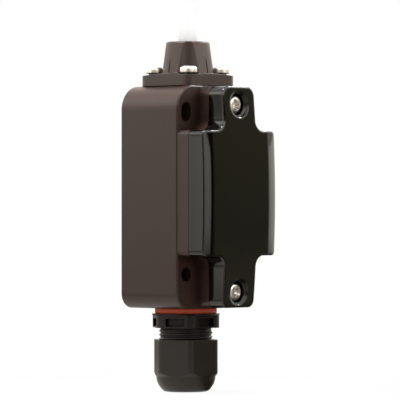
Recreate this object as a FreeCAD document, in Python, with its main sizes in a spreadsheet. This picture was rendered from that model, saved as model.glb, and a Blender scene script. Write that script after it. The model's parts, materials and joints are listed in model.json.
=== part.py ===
import FreeCAD, Part
import math
import os
import re
import Sketcher
from FreeCAD import Placement, Rotation, Vector

# Plunger limit switch with a 40 mm wide moulded body, in millimetres.
# Origin: centre of the four mounting holes on the back face. +X is the width, the cover faces -Y,
# and the plunger points to +Z. The gland's upright axis lies a little behind the plunger's.

# Driving dimensions
SIZES = {
    # Housing outline and depth, from the back face to the front
    "body_width": 40.0,
    "hole_pitch_x": 30.0,
    "hole_pitch_z": 60.0,
    "hole_diameter": 5.3,
    "slot_length": 7.3,
    "top_margin": 10.0,
    "bottom_margin": 12.8,
    "top_corner": 9.0,
    "bottom_corner": 5.5,
    "base_depth": 28.7,
    "collar_depth": 5.3,
    "collar_reveal": 0.35,
    "wide_height": 46.5,
    "neck_side": 11.0,
    "neck_radius": 4.0,
    "wide_corner": 1.8,
    "end_corner_top": 3.5,
    "end_corner_bottom": 2.8,
    "base_edge": 0.5,
    "wall": 2.5,
    "back_wall": 3.0,
    "neck_wall": 2.9,
    "overrun": 1.0,
    "axis_depth": 15.1,
    "gland_depth": 14.1,
    "spigot_seat": 5.0,
    # Screws: M4 for cover and head, and the play at the end of every screw hole
    "screw_radius": 2.0,
    "screw_passage": 2.2,
    "screw_head_edge": 0.6,
    "screw_end_gap": 0.5,
    # Ribs that guide the contact block, and the posts that it is screwed to
    "rib_width": 1.2,
    "rib_height": 0.9,
    "rib_spacing": 20.0,
    "post_radius": 3.1,
    "post_height": 2.0,
    # Cover
    "cover_depth": 8.9,
    "cover_reveal": 0.12,
    "cover_wall": 2.8,
    "cover_edge_radius": 0.5,
    "crown_radius": 400.0,
    "side_round_radius": 13.0,
    "side_round_width": 5.5,
    "cover_screw_edge_top": 7.2,
    "cover_screw_edge_bottom": 6.3,
    "cover_screw_boss": 5.2,
    "counterbore_radius": 4.75,
    "counterbore_depth": 2.6,
    "inner_step_radius": 4.0,
    "inner_step_depth": 5.5,
    "cover_screw_length": 9.0,
    "cover_screw_head_radius": 3.25,
    "cover_screw_head_height": 2.7,
    # Flat seals under the cover and under the head
    "gasket_thickness": 0.6,
    "gasket_inset": 0.8,
    "head_gasket_land": 0.2,
    # Plunger head
    "flange_width": 26.6,
    "flange_height": 4.75,
    "flange_corner": 4.4,
    "flange_crown_start": 11.4,
    "flange_crown_slope": 0.15,
    "boss_height": 11.95,
    "boss_base_radius": 10.3,
    "boss_top_radius": 8.15,
    "boss_edge_radius": 1.0,
    "scallop_radius": 4.8,
    "side_groove_width": 0.5,
    "side_groove_distance": 9.3,
    "head_screw_pitch": 17.8,
    "head_screw_length": 11.5,
    "head_screw_head_radius": 3.25,
    "head_screw_head_height": 2.7,
    "spigot_radius": 7.4,
    "spigot_length": 4.8,
    "spring_chamber_radius": 5.6,
    "bush_start": 8.0,
    "bush_length": 6.3,
    "bush_radius": 5.0,
    "wiper_depth": 1.8,
    "wiper_radius": 5.4,
    "lip_radius": 4.2,
    "wiper_sunk": 0.3,
    "wiper_lip": 0.4,
    # Plunger and its travel
    "plunger_radius": 3.6,
    "plunger_stand": 11.8,
    "plunger_dome": 2.1,
    "plunger_travel": 5.5,
    "plunger_step": 6.0,
    "stem_radius": 2.6,
    "stem_reach": 19.0,
    "running_clearance": 0.06,
    "fit_clearance": 0.05,
    "ring_thickness": 1.2,
    "ring_radius": 5.2,
    "ring_groove_radius": 3.2,
    "ring_gap": 3.6,
    # Springs: coil radius and wire radius of each
    "plunger_spring_coil": 4.75,
    "plunger_spring_wire": 0.4,
    "plunger_spring_turns": 5.0,
    "tappet_spring_coil": 2.3,
    "tappet_spring_wire": 0.25,
    "tappet_spring_turns": 6.0,
    "contact_spring_coil": 1.4,
    "contact_spring_wire": 0.2,
    "contact_spring_turns": 4.0,
    # Contact block: two shells that meet in the plane of the plunger axis
    "block_clearance": 0.4,
    "block_height": 34.0,
    "block_front": 23.6,
    "block_corner": 1.0,
    "chamber_wall": 4.5,
    "chamber_height": 25.0,
    "chamber_depth": 9.8,
    "guide_clearance": 0.08,
    "spring_well_radius": 3.1,
    "spring_well_depth": 3.5,
    "block_screw_edge": 2.3,
    "block_screw_length": 21.8,
    "block_screw_radius": 1.25,
    "block_screw_passage": 1.6,
    "block_screw_head_radius": 2.2,
    "block_screw_head_height": 1.8,
    "barrier_width": 2.4,
    "barrier_height": 3.0,
    "cross_barrier_gap": 4.0,
    # Tappet
    "tappet_width": 7.2,
    "tappet_depth": 6.0,
    "tappet_end_gap": 0.3,
    "tappet_pin_gap": 0.1,
    "tappet_foot": 2.1,
    "tappet_foot_pin_radius": 1.6,
    "tappet_foot_pin_length": 2.3,
    "window_depth": 4.2,
    "window_play": 0.05,
    # Moving contact bars and fixed contacts
    "bridge_end_gap": 1.1,
    "bridge_width": 4.0,
    "bridge_corner": 1.6,
    "strip_thickness": 0.8,
    "break_level": 9.4,
    "break_window": 4.65,
    "window_web": 1.2,
    "make_gap": 3.0,
    "contact_width": 2.4,
    "contact_height": 0.4,
    "contact_edge": 1.6,
    "fixed_contact_height": 0.3,
    "strip_width": 4.8,
    "strip_back": 12.8,
    "strip_slot_play": 0.1,
    "plate_width": 6.8,
    "terminal_pitch_z": 27.4,
    "terminal_screw_hole": 2.0,
    "terminal_screw_length": 4.5,
    "terminal_screw_radius": 1.7,
    "terminal_screw_head_radius": 2.9,
    "terminal_screw_head_height": 2.0,
    "terminal_passage": 1.8,
    "clamp_width": 6.4,
    "clamp_thickness": 0.9,
    # Gland
    "gland_thread_radius": 10.0,
    "gland_core_radius": 9.55,
    "seal_ring_radius": 11.6,
    "seal_ring_thickness": 2.2,
    "seal_ring_edge": 0.4,
    "gland_edge": 0.5,
    "gland_flange_radius": 12.65,
    "gland_flange_thickness": 0.6,
    "gland_collar_height": 4.6,
    "gland_collar_flats": 23.6,
    "gland_collar_rounding": 4.0,
    "gland_collar_corner": 13.0,
    "gland_collar_turn": 23.5,
    "collar_pocket_width": 7.4,
    "collar_pocket_height": 3.0,
    "collar_pocket_depth": 1.5,
    "collar_pocket_margin": 0.5,
    "gland_stem_length": 9.0,
    "gland_spigot_length": 11.3,
    "gland_bore_radius": 6.6,
    "gland_seal_bore_radius": 7.7,
    "nut_gap": 4.5,
    "nut_flats": 23.5,
    "nut_rounding": 6.5,
    "nut_corner": 13.1,
    "nut_turn": 20.0,
    "nut_height": 19.5,
    "nut_hexagon_height": 12.7,
    "nut_shoulder_radius": 11.2,
    "nut_shoulder_height": 0.9,
    "nut_dome_radius": 8.7,
    "nut_end_radius": 8.3,
    "nut_mouth_radius": 6.5,
    "nut_mouth_length": 3.2,
    "nut_seat_radius": 7.8,
    "rubber_radius": 7.6,
    "rubber_bore_radius": 5.0,
    "rubber_overhang": 0.5,
    "insert_radius": 7.5,
    "insert_bore_radius": 5.6,
    "insert_slot_width": 1.2,
    "insert_root": 2.4,
}

# Sizes worked out from the driving ones
TOP = "(hole_pitch_z / 2 + top_margin)"
BOTTOM = "(-hole_pitch_z / 2 - bottom_margin)"
MIDDLE = "((top_margin - bottom_margin) / 2)"
SEAM = "(base_depth + collar_depth)"
FRONT = "(base_depth + collar_depth + cover_depth)"
NECK_WIDTH = "(body_width - 2 * neck_side)"
CAVITY_NECK = f"({NECK_WIDTH} - 2 * neck_wall)"
COLLAR_INSET = "(collar_reveal)"
COVER_INSET = "(collar_reveal + cover_reveal)"
GASKET_INSET = "(collar_reveal + cover_reveal + gasket_inset)"
NECK_TOP = f"({TOP} - cover_screw_edge_top - cover_screw_boss)"
NECK_BOTTOM = f"({BOTTOM} + cover_screw_edge_bottom + cover_screw_boss)"
UPPER_SCREW = f"({TOP} - cover_screw_edge_top)"
LOWER_SCREW = f"({BOTTOM} + cover_screw_edge_bottom)"
COVER_SEAT = f"({FRONT} - inner_step_depth)"
BLOCK_BACK = "(back_wall + post_height)"
BLOCK_WIDTH = "(body_width - 2 * wall - 2 * rib_height - 2 * block_clearance)"
BLOCK_SCREW_PITCH = f"({BLOCK_WIDTH} - 2 * block_screw_edge)"
CHAMBER_WIDTH = f"({BLOCK_WIDTH} - 2 * chamber_wall)"
BRIDGE_LENGTH = f"({CHAMBER_WIDTH} - 2 * bridge_end_gap)"
CONTACT_SPACING = f"({BRIDGE_LENGTH} - 2 * contact_edge)"
STRIP_INNER = f"(({CONTACT_SPACING} - strip_width) / 2)"
TERMINAL_PITCH_X = f"(2 * {STRIP_INNER} + plate_width)"
BREAK_BAR = "(break_level - contact_height - strip_thickness)"
BREAK_WINDOW_TOP = "(break_level - contact_height + window_play)"
MAKE_WINDOW_TOP = "(break_level - contact_height + window_play - break_window - window_web)"
TAPPET_FOOT = "(-chamber_height / 2 + plunger_travel + tappet_end_gap)"
MAKE_BAR = f"({TAPPET_FOOT} + tappet_foot + window_play)"
MAKE_LEVEL = f"({MAKE_BAR} - contact_height - make_gap)"
BOSS_TOP = "(flange_height + boss_height)"
WIPER_FLOOR = f"({BOSS_TOP} - wiper_depth)"
HEAD_GASKET_RADIUS = "(head_screw_pitch / sqrt(2) - screw_passage - head_gasket_land)"
COLLAR_TOP = "(-seal_ring_thickness - gland_flange_thickness)"
COLLAR_END = f"({COLLAR_TOP} - gland_collar_height)"
SPIGOT_END = f"({COLLAR_END} - gland_spigot_length)"
NUT_TOP = f"({COLLAR_END} - nut_gap)"
NUT_END = f"({NUT_TOP} - nut_height)"
NUT_SEAT = f"({NUT_END} + nut_mouth_length)"
RUBBER_END = f"({SPIGOT_END} - rubber_overhang)"

# Steps of a spring per turn, sides of its wire, pitch of a closed turn in wire radii
SPRING_STEPS = 10
WIRE_SIDES = 6
CLOSED_PITCH = 2.2
# Lengths that differ by less than this count as equal
NEAR = 0.01

document = FreeCAD.newDocument("plunger_limit_switch")
sheet = document.addObject("Spreadsheet::Sheet", "sizes")
for row, (alias, size) in enumerate(SIZES.items(), start=1):
    sheet.set(f"A{row}", alias)
    sheet.set(f"B{row}", str(size))
    sheet.setAlias(f"B{row}", alias)
document.recompute()


def linked(expression):
    """The expression with each size name pointed at its cell."""
    return re.sub(
        r"\b[a-z][a-z_]*\b",
        lambda found: f"sizes.{found.group()}" if found.group() in SIZES else found.group(),
        expression,
    )


def number(expression):
    """Present value of an expression."""
    return float(sheet.evalExpression(linked(expression)))


def new_body(label, depth="0", height="0"):
    """Body whose origin lies at the depth behind the front and at the height."""
    made = document.addObject("PartDesign::Body", label)
    made.Label = label
    made.AllowCompound = True
    made.Placement = Placement(Vector(0, -number(depth), number(height)), Rotation())
    made.setExpression("Placement.Base.y", linked(f"-({depth})"))
    made.setExpression("Placement.Base.z", linked(height))
    return made


def datum(body, role):
    """One of the body's own origin planes or axes."""
    return next(feature for feature in body.Origin.OriginFeatures if feature.Role == role)


def sketch(body, plane, offset="0"):
    """Empty sketch on one of the body's planes, moved along the plane's normal."""
    made = body.newObject("Sketcher::SketchObject", f"{body.Name}_sketch")
    made.AttachmentSupport = [(datum(body, plane), "")]
    made.MapMode = "FlatFace"
    made.setExpression("AttachmentOffset.Base.z", linked(offset))
    return made


def hold(target, geometry, point, across, up):
    """Fix a point of the sketch at a place given by two expressions."""
    for kind, expression in (("DistanceX", across), ("DistanceY", up)):
        rule = Sketcher.Constraint(kind, -1, 1, geometry, point, number(expression))
        index = target.addConstraint(rule)
        target.setExpression(f"Constraints[{index}]", linked(expression))


def arc_between(start, end, radius, turn):
    """Arc from start to end; turn is 1 where it runs to the left and -1 where it runs to the right."""
    chord = end - start
    across = Vector(-chord.y, chord.x, 0).normalize()
    centre = (start + end) / 2 + across * turn * math.sqrt(radius ** 2 - chord.Length ** 2 / 4)
    middle = centre - across * turn * radius
    arc = Part.Arc(start, middle, end)
    if turn > 0:
        return arc, 1, 2
    return arc, 2, 1


def outline(target, points):
    """Closed outline. A point is (across, up), or (across, up, radius, turn) at the end of an arc."""
    spots = [Vector(number(point[0]), number(point[1]), 0) for point in points]
    ends = []
    for index, point in enumerate(points):
        edge, first, last = Part.LineSegment(spots[index - 1], spots[index]), 1, 2
        if len(point) == 4:
            edge, first, last = arc_between(spots[index - 1], spots[index], number(point[2]), point[3])
        geometry = target.addGeometry(edge, False)
        if len(point) == 4:
            rule = target.addConstraint(Sketcher.Constraint("Radius", geometry, number(point[2])))
            target.setExpression(f"Constraints[{rule}]", linked(point[2]))
        ends.append((geometry, first, last))
    for index, (geometry, first, last) in enumerate(ends):
        following, start, unused = ends[(index + 1) % len(ends)]
        target.addConstraint(Sketcher.Constraint("Coincident", geometry, last, following, start))
        hold(target, geometry, last, points[index][0], points[index][1])


def rectangle(target, left, right, low, high):
    """Rectangle between four expressions."""
    outline(target, [(left, low), (right, low), (right, high), (left, high)])


def centred_rectangle(target, width, height):
    """Rectangle about the sketch's origin."""
    rectangle(target, f"-{width} / 2", f"{width} / 2", f"-{height} / 2", f"{height} / 2")


def circle(target, across, up, radius):
    """Full circle held by its centre and radius."""
    centre = Vector(number(across), number(up), 0)
    geometry = target.addGeometry(Part.Circle(centre, Vector(0, 0, 1), number(radius)), False)
    hold(target, geometry, 3, across, up)
    rule = target.addConstraint(Sketcher.Constraint("Radius", geometry, number(radius)))
    target.setExpression(f"Constraints[{rule}]", linked(radius))


def cross(target, inset, half_neck=None, bottom=None, top=None):
    """Cross-shaped outline of the collar, drawn in by the inset."""
    wide = f"(body_width / 2 - {inset})"
    high = f"(wide_height / 2 - {inset} + collar_reveal)"
    neck = half_neck or f"({NECK_WIDTH} / 2 - {inset})"
    low = bottom or f"({BOTTOM} + {inset})"
    peak = top or f"({TOP} - {inset})"
    outline(target, [
        (f"-{neck}", low),
        (neck, low),
        (neck, f"-{high}"),
        (wide, f"-{high}"),
        (wide, high),
        (neck, high),
        (neck, peak),
        (f"-{neck}", peak),
        (f"-{neck}", high),
        (f"-{wide}", high),
        (f"-{wide}", f"-{high}"),
        (f"-{neck}", f"-{high}"),
    ])


def finish_feature(body, made, shrinks):
    """Recompute a feature and make sure that it added or removed material."""
    before = body.Tip.Shape.Volume if body.Tip and body.Tip is not made else 0.0
    document.recompute()
    body.Tip = made
    after = made.Shape.Volume
    if (shrinks and after >= before) or (not shrinks and after <= before):
        raise ValueError(f"{made.Name} of {body.Label} changed nothing")
    return made


def extrude(body, kind, profile, length, reverse, shrinks):
    """Straight feature along the sketch's normal."""
    last = body.Tip
    made = body.newObject(f"PartDesign::{kind}", f"{body.Name}_{kind.lower()}")
    made.Profile = profile
    made.setExpression("Length", linked(length))
    made.Reversed = reverse
    body.Tip = last
    return finish_feature(body, made, shrinks)


def pad(body, profile, length, reverse=False):
    """Material along the sketch's normal, or against it."""
    return extrude(body, "Pad", profile, length, reverse, False)


def pocket(body, profile, length, reverse=False):
    """Cut against the sketch's normal, or along it."""
    return extrude(body, "Pocket", profile, length, reverse, True)


def turn_profile(body, points, kind="Revolution", plane="XZ_Plane"):
    """Full turn of an outline about the body's upright axis."""
    profile = sketch(body, plane)
    outline(profile, points)
    last = body.Tip
    made = body.newObject(f"PartDesign::{kind}", f"{body.Name}_{kind.lower()}")
    made.Profile = profile
    made.ReferenceAxis = (profile, ["V_Axis"])
    made.Angle = 360.0
    body.Tip = last
    return finish_feature(body, made, kind == "Groove")


def dress(body, kind, prop, size, chosen):
    """Fillet or chamfer on the edges of the present shape that pass the test."""
    last = body.Tip
    names = [f"Edge{place}" for place, edge in enumerate(last.Shape.Edges, start=1) if chosen(edge)]
    if not names:
        raise ValueError(f"no edge for the {kind} of {body.Label}")
    made = body.newObject(f"PartDesign::{kind}", f"{body.Name}_{kind.lower()}")
    made.Base = (last, names)
    made.setExpression(prop, linked(size))
    document.recompute()
    body.Tip = made
    return made


def fillet(body, radius, chosen):
    """Rounded edges."""
    return dress(body, "Fillet", "Radius", radius, chosen)


def chamfer(body, size, chosen):
    """Bevelled edges."""
    return dress(body, "Chamfer", "Size", size, chosen)


def close(value, target):
    """True where two lengths agree."""
    return abs(value - target) < NEAR


def runs_along(edge, direction):
    """True for a straight edge along the direction."""
    if edge.Curve.TypeId != "Part::GeomLine":
        return False
    return abs(edge.Curve.Direction.dot(direction)) > 1 - NEAR


def at_level(edge, level, axis="z"):
    """True where the whole edge lies at one level."""
    box = edge.BoundBox
    low, high = getattr(box, f"{axis.upper()}Min"), getattr(box, f"{axis.upper()}Max")
    return close(low, level) and close(high, level)


def corner(edge, direction, across, up):
    """True for a straight edge that stands at plus or minus across, and at the height up."""
    if not runs_along(edge, direction):
        return False
    middle = edge.CenterOfMass
    height = middle.z if direction.z == 0 else middle.y
    return close(abs(middle.x), across) and close(height, up)


DEPTHWAYS = Vector(0, 1, 0)
UPRIGHT = Vector(0, 0, 1)


def round_cross(body, inset):
    """Round the corners of a cross that was drawn with the same inset."""
    wide = number(f"body_width / 2 - {inset}")
    high = number(f"wide_height / 2 - {inset} + collar_reveal")
    neck = number(f"{NECK_WIDTH} / 2 - {inset}")
    low = number(f"{BOTTOM} + {inset}")
    peak = number(f"{TOP} - {inset}")
    corners = [
        ("wide_corner", [(wide, high), (wide, -high)]),
        ("neck_radius", [(neck, high), (neck, -high)]),
        ("end_corner_top", [(neck, peak)]),
        ("end_corner_bottom", [(neck, low)]),
    ]
    for radius, places in corners:
        fillet(body, radius, lambda edge: any(corner(edge, DEPTHWAYS, *place) for place in places))


def four_ways(pitch_x, pitch_z, middle_z="0"):
    """Centres of four places round a middle, as expressions."""
    return [
        (f"{side} * {pitch_x} / 2", f"{middle_z} + {rise} * {pitch_z} / 2")
        for side in (-1, 1)
        for rise in (-1, 1)
    ]


# Housing: rounded block, cross-shaped collar, hollow behind the cover
housing = new_body("housing")
base_outline = sketch(housing, "XZ_Plane")
rectangle(base_outline, "-body_width / 2", "body_width / 2", BOTTOM, TOP)
pad(housing, base_outline, "base_depth")
half_width = number("body_width / 2")
fillet(housing, "top_corner", lambda edge: corner(edge, DEPTHWAYS, half_width, number(TOP)))
fillet(housing, "bottom_corner", lambda edge: corner(edge, DEPTHWAYS, half_width, number(BOTTOM)))
chamfer(housing, "base_edge", lambda edge: at_level(edge, -number("base_depth"), "y"))

collar_outline = sketch(housing, "XZ_Plane", "base_depth - 2 * base_edge")
cross(collar_outline, COLLAR_INSET)
pad(housing, collar_outline, "collar_depth + 2 * base_edge")
round_cross(housing, COLLAR_INSET)

cavity_outline = sketch(housing, "XZ_Plane", SEAM)
cross(cavity_outline, "wall", f"({CAVITY_NECK} / 2)", NECK_BOTTOM, NECK_TOP)
pocket(housing, cavity_outline, f"{SEAM} - back_wall")

mounting_slots = sketch(housing, "XZ_Plane", "base_depth")
for side in (-1, 1):
    middle_x = f"{side} * hole_pitch_x / 2"
    straight = "(slot_length - hole_diameter) / 2"
    left = f"{middle_x} - hole_diameter / 2"
    right = f"{middle_x} + hole_diameter / 2"
    low = f"hole_pitch_z / 2 - {straight}"
    high = f"hole_pitch_z / 2 + {straight}"
    outline(mounting_slots, [
        (left, low),
        (middle_x, f"{low} - hole_diameter / 2", "hole_diameter / 2", 1),
        (right, low, "hole_diameter / 2", 1),
        (right, high),
        (middle_x, f"{high} + hole_diameter / 2", "hole_diameter / 2", 1),
        (left, high, "hole_diameter / 2", 1),
    ])
    circle(mounting_slots, middle_x, "-hole_pitch_z / 2", "hole_diameter / 2")
pocket(housing, mounting_slots, "base_depth")

spigot_hole = sketch(housing, "XY_Plane", TOP)
circle(spigot_hole, "0", "-axis_depth", "spigot_radius + fit_clearance")
pocket(housing, spigot_hole, "spigot_seat")
stem_hole = sketch(housing, "XY_Plane", TOP)
circle(stem_hole, "0", "-axis_depth", "lip_radius")
pocket(housing, stem_hole, f"{TOP} - {NECK_TOP} + overrun")
gland_hole = sketch(housing, "XY_Plane", BOTTOM)
circle(gland_hole, "0", "-gland_depth", "gland_thread_radius")
pocket(housing, gland_hole, f"-{BOTTOM} - wide_height / 2 + wall", reverse=True)

head_screw_holes = sketch(housing, "XY_Plane", TOP)
for across, up in four_ways("head_screw_pitch", "head_screw_pitch", "-axis_depth"):
    circle(head_screw_holes, across, up, "screw_radius + fit_clearance")
pocket(housing, head_screw_holes, "head_screw_length - flange_height + screw_end_gap")
cover_screw_holes = sketch(housing, "XZ_Plane", SEAM)
for height in (UPPER_SCREW, LOWER_SCREW):
    circle(cover_screw_holes, "0", height, "screw_radius + fit_clearance")
cover_grip = "(cover_depth - inner_step_depth)"
pocket(housing, cover_screw_holes, f"cover_screw_length - {cover_grip} + screw_end_gap")

posts = sketch(housing, "XZ_Plane", "back_wall - overrun")
for side in (-1, 1):
    circle(posts, f"{side} * {BLOCK_SCREW_PITCH} / 2", "0", "post_radius")
pad(housing, posts, "post_height + overrun")
post_holes = sketch(housing, "XZ_Plane", BLOCK_BACK)
for side in (-1, 1):
    circle(post_holes, f"{side} * {BLOCK_SCREW_PITCH} / 2", "0", "block_screw_radius + fit_clearance")
post_hole_depth = f"block_screw_length - block_front + {BLOCK_BACK} + screw_end_gap"
pocket(housing, post_holes, post_hole_depth)

ribs = sketch(housing, "XZ_Plane", "back_wall")
for side in (-1, 1):
    for rise in (-1, 1):
        inner = f"{side} * (body_width / 2 - wall - rib_height)"
        outer = f"{side} * (body_width / 2 - wall + rib_height / 2)"
        left, right = (inner, outer) if side > 0 else (outer, inner)
        middle_z = f"{rise} * rib_spacing / 2"
        rectangle(ribs, left, right, f"{middle_z} - rib_width / 2", f"{middle_z} + rib_width / 2")
pad(housing, ribs, "block_front - back_wall")

# Front cover: crowned lid with rounded sides, two counterbores and a rebate for its gasket
front_cover = new_body("front_cover")
cover_outline = sketch(front_cover, "XZ_Plane", SEAM)
cross(cover_outline, COVER_INSET)
pad(front_cover, cover_outline, "cover_depth")
round_cross(front_cover, COVER_INSET)

crown = sketch(front_cover, "XY_Plane", MIDDLE)
flat_half = f"(body_width / 2 - {COVER_INSET} - side_round_width)"
outer_half = f"(body_width / 2 - {COVER_INSET} + overrun)"
round_centre_up = "sqrt(side_round_radius ^ 2 - (side_round_width + overrun) ^ 2)"
outer_drop = f"(side_round_radius - {round_centre_up})"
outline(crown, [
    (f"-{outer_half}", f"-{FRONT} + {outer_drop}"),
    (f"-{flat_half}", f"-{FRONT}", "side_round_radius", 1),
    (flat_half, f"-{FRONT}"),
    (outer_half, f"-{FRONT} + {outer_drop}", "side_round_radius", 1),
    (outer_half, f"-{FRONT} - cover_depth"),
    (f"-{outer_half}", f"-{FRONT} - cover_depth"),
])
axis_y = number(f"crown_radius - {FRONT}")
axis_line = Part.LineSegment(Vector(-half_width, axis_y, 0), Vector(half_width, axis_y, 0))
crown_axis = crown.addGeometry(axis_line, True)
hold(crown, crown_axis, 1, "-body_width / 2", f"crown_radius - {FRONT}")
hold(crown, crown_axis, 2, "body_width / 2", f"crown_radius - {FRONT}")
uncrowned = front_cover.Tip
crown_cut = front_cover.newObject("PartDesign::Groove", "crown_cut")
crown_cut.Profile = crown
crown_cut.ReferenceAxis = (crown, ["Axis0"])
crown_cut.Midplane = True
half_reach = f"(({TOP} - {BOTTOM}) / 2 + 5 * overrun)"
crown_cut.setExpression("Angle", linked(f"2 * asin({half_reach} / crown_radius)"))
front_cover.Tip = uncrowned
finish_feature(front_cover, crown_cut, True)


def on_front_rim(edge):
    """True for the edges between the crowned front and the side walls of the cover."""
    box = edge.BoundBox
    if box.YMax > -number(f"{SEAM} + cover_depth / 2"):
        return False
    if runs_along(edge, DEPTHWAYS):
        return False
    fold = number(f"body_width / 2 - {COVER_INSET} - side_round_width")
    return not (close(abs(box.XMin), fold) and close(box.XMin, box.XMax))


fillet(front_cover, "cover_edge_radius", on_front_rim)

rebate = sketch(front_cover, "XZ_Plane", SEAM)
cross(rebate, GASKET_INSET)
pocket(front_cover, rebate, "gasket_thickness", reverse=True)
lid_hollow = sketch(front_cover, "XZ_Plane", SEAM)
cross(lid_hollow, "wall", f"({CAVITY_NECK} / 2)", NECK_BOTTOM, NECK_TOP)
pocket(front_cover, lid_hollow, "cover_depth - cover_wall", reverse=True)
for radius, depth in (
    ("counterbore_radius", "counterbore_depth"),
    ("inner_step_radius", "inner_step_depth"),
    ("screw_passage", "cover_depth"),
):
    for height in (UPPER_SCREW, LOWER_SCREW):
        counterbore = sketch(front_cover, "XZ_Plane", FRONT)
        circle(counterbore, "0", height, radius)
        pocket(front_cover, counterbore, depth)

# Gasket between housing and cover
cover_gasket = new_body("cover_gasket")
gasket_outline = sketch(cover_gasket, "XZ_Plane", SEAM)
cross(gasket_outline, f"({GASKET_INSET} + fit_clearance)")
pad(cover_gasket, gasket_outline, "gasket_thickness")
gasket_opening = sketch(cover_gasket, "XZ_Plane", f"{SEAM} + gasket_thickness")
cross(gasket_opening, "wall", f"({CAVITY_NECK} / 2)", NECK_BOTTOM, NECK_TOP)
for height in (UPPER_SCREW, LOWER_SCREW):
    circle(gasket_opening, "0", height, "screw_passage")
pocket(cover_gasket, gasket_opening, "gasket_thickness")


def screw_set(body, name, shank_radius, patterns):
    """Screws whose heads seat at the local origin, repeated along the body's own axes."""
    first = turn_profile(body, [
        ("0", f"-{name}_length"),
        (shank_radius, f"-{name}_length"),
        (shank_radius, "0"),
        (f"{name}_head_radius", "0"),
        (f"{name}_head_radius", f"{name}_head_height - screw_head_edge"),
        (f"{name}_head_radius - screw_head_edge", f"{name}_head_height"),
        ("0", f"{name}_head_height"),
    ])
    transform = body.newObject("PartDesign::MultiTransform", f"{body.Name}_set")
    transform.Originals = [first]
    steps = []
    for role, pitch in patterns:
        step = document.addObject("PartDesign::LinearPattern", f"{body.Name}_{role[0].lower()}")
        step.Direction = (datum(body, role), [""])
        step.setExpression("Length", linked(pitch))
        step.Occurrences = 2
        body.addObject(step)
        steps.append(step)
    transform.Transformations = steps
    body.Tip = transform
    document.recompute()


def facing_front(body, across, depth, height):
    """Turn a body so that its local +Z points to the front."""
    body.setExpression("Placement.Base.y", None)
    body.setExpression("Placement.Base.z", None)
    place = Vector(number(across), -number(depth), number(height))
    body.Placement = Placement(place, Rotation(Vector(1, 0, 0), 90))
    body.setExpression("Placement.Base.x", linked(across))
    body.setExpression("Placement.Base.y", linked(f"-({depth})"))
    body.setExpression("Placement.Base.z", linked(height))


cover_screws = new_body("cover_screws")
facing_front(cover_screws, "0", COVER_SEAT, LOWER_SCREW)
screw_set(cover_screws, "cover_screw", "screw_radius", [("Y_Axis", f"{UPPER_SCREW} - {LOWER_SCREW}")])

# Plunger head: square flange with a domed top, scalloped conical boss, spigot and stepped bore
plunger_head = new_body("plunger_head", "axis_depth", TOP)
flange = sketch(plunger_head, "XY_Plane")
centred_rectangle(flange, "flange_width", "flange_width")
pad(plunger_head, flange, "flange_height")
flange_half = number("flange_width / 2")
fillet(
    plunger_head,
    "flange_corner",
    lambda edge: runs_along(edge, UPRIGHT) and close(abs(edge.CenterOfMass.y), flange_half),
)
turn_profile(plunger_head, [
    ("flange_crown_start", "flange_height"),
    ("flange_width", "flange_height - flange_crown_slope * (flange_width - flange_crown_start)"),
    ("flange_width", "flange_height + overrun"),
    ("flange_crown_start", "flange_height + overrun"),
], "Groove")
turn_profile(plunger_head, [
    ("0", "-spigot_length"),
    ("spigot_radius", "-spigot_length"),
    ("spigot_radius", "flange_height - overrun"),
    ("boss_base_radius", "flange_height - overrun"),
    ("boss_base_radius", "flange_height"),
    ("boss_top_radius", BOSS_TOP),
    ("0", BOSS_TOP),
])
fillet(
    plunger_head,
    "boss_edge_radius",
    lambda edge: at_level(edge, number(BOSS_TOP)),
)
scallops = sketch(plunger_head, "XY_Plane", "flange_height")
for across, up in four_ways("head_screw_pitch", "head_screw_pitch"):
    circle(scallops, across, up, "scallop_radius")
pocket(plunger_head, scallops, "boss_height + overrun", reverse=True)
side_grooves = sketch(plunger_head, "XY_Plane", "flange_height")
half_groove = "side_groove_width / 2"
for side in (-1, 1):
    near_end = f"{side} * side_groove_distance"
    far_end = f"{side} * (boss_base_radius + overrun)"
    low, high = (near_end, far_end) if side > 0 else (far_end, near_end)
    rectangle(side_grooves, low, high, f"-{half_groove}", half_groove)
    rectangle(side_grooves, f"-{half_groove}", half_groove, low, high)
pocket(plunger_head, side_grooves, "boss_height", reverse=True)
seal_rebate = sketch(plunger_head, "XY_Plane")
circle(seal_rebate, "0", "0", HEAD_GASKET_RADIUS)
circle(seal_rebate, "0", "0", "spigot_radius")
pocket(plunger_head, seal_rebate, "gasket_thickness", reverse=True)
turn_profile(plunger_head, [
    ("0", "-spigot_length - overrun"),
    ("spring_chamber_radius", "-spigot_length - overrun"),
    ("spring_chamber_radius", "bush_start"),
    ("bush_radius", "bush_start"),
    ("bush_radius", "bush_start + bush_length"),
    ("lip_radius", "bush_start + bush_length"),
    ("lip_radius", WIPER_FLOOR),
    ("wiper_radius", WIPER_FLOOR),
    ("wiper_radius", f"{BOSS_TOP} + overrun"),
    ("0", f"{BOSS_TOP} + overrun"),
], "Groove")
head_holes = sketch(plunger_head, "XY_Plane", "flange_height")
for across, up in four_ways("head_screw_pitch", "head_screw_pitch"):
    circle(head_holes, across, up, "screw_passage")
pocket(plunger_head, head_holes, "flange_height")

head_gasket = new_body("head_gasket", "axis_depth", TOP)
turn_profile(head_gasket, [
    ("spigot_radius + fit_clearance", "0"),
    (f"{HEAD_GASKET_RADIUS} - fit_clearance", "0"),
    (f"{HEAD_GASKET_RADIUS} - fit_clearance", "gasket_thickness"),
    ("spigot_radius + fit_clearance", "gasket_thickness"),
])

head_screws = new_body("head_screws", "axis_depth + head_screw_pitch / 2", f"{TOP} + flange_height")
head_screws.setExpression("Placement.Base.x", linked("-head_screw_pitch / 2"))
head_screw_steps = [("X_Axis", "head_screw_pitch"), ("Y_Axis", "head_screw_pitch")]
screw_set(head_screws, "head_screw", "screw_radius", head_screw_steps)

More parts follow.
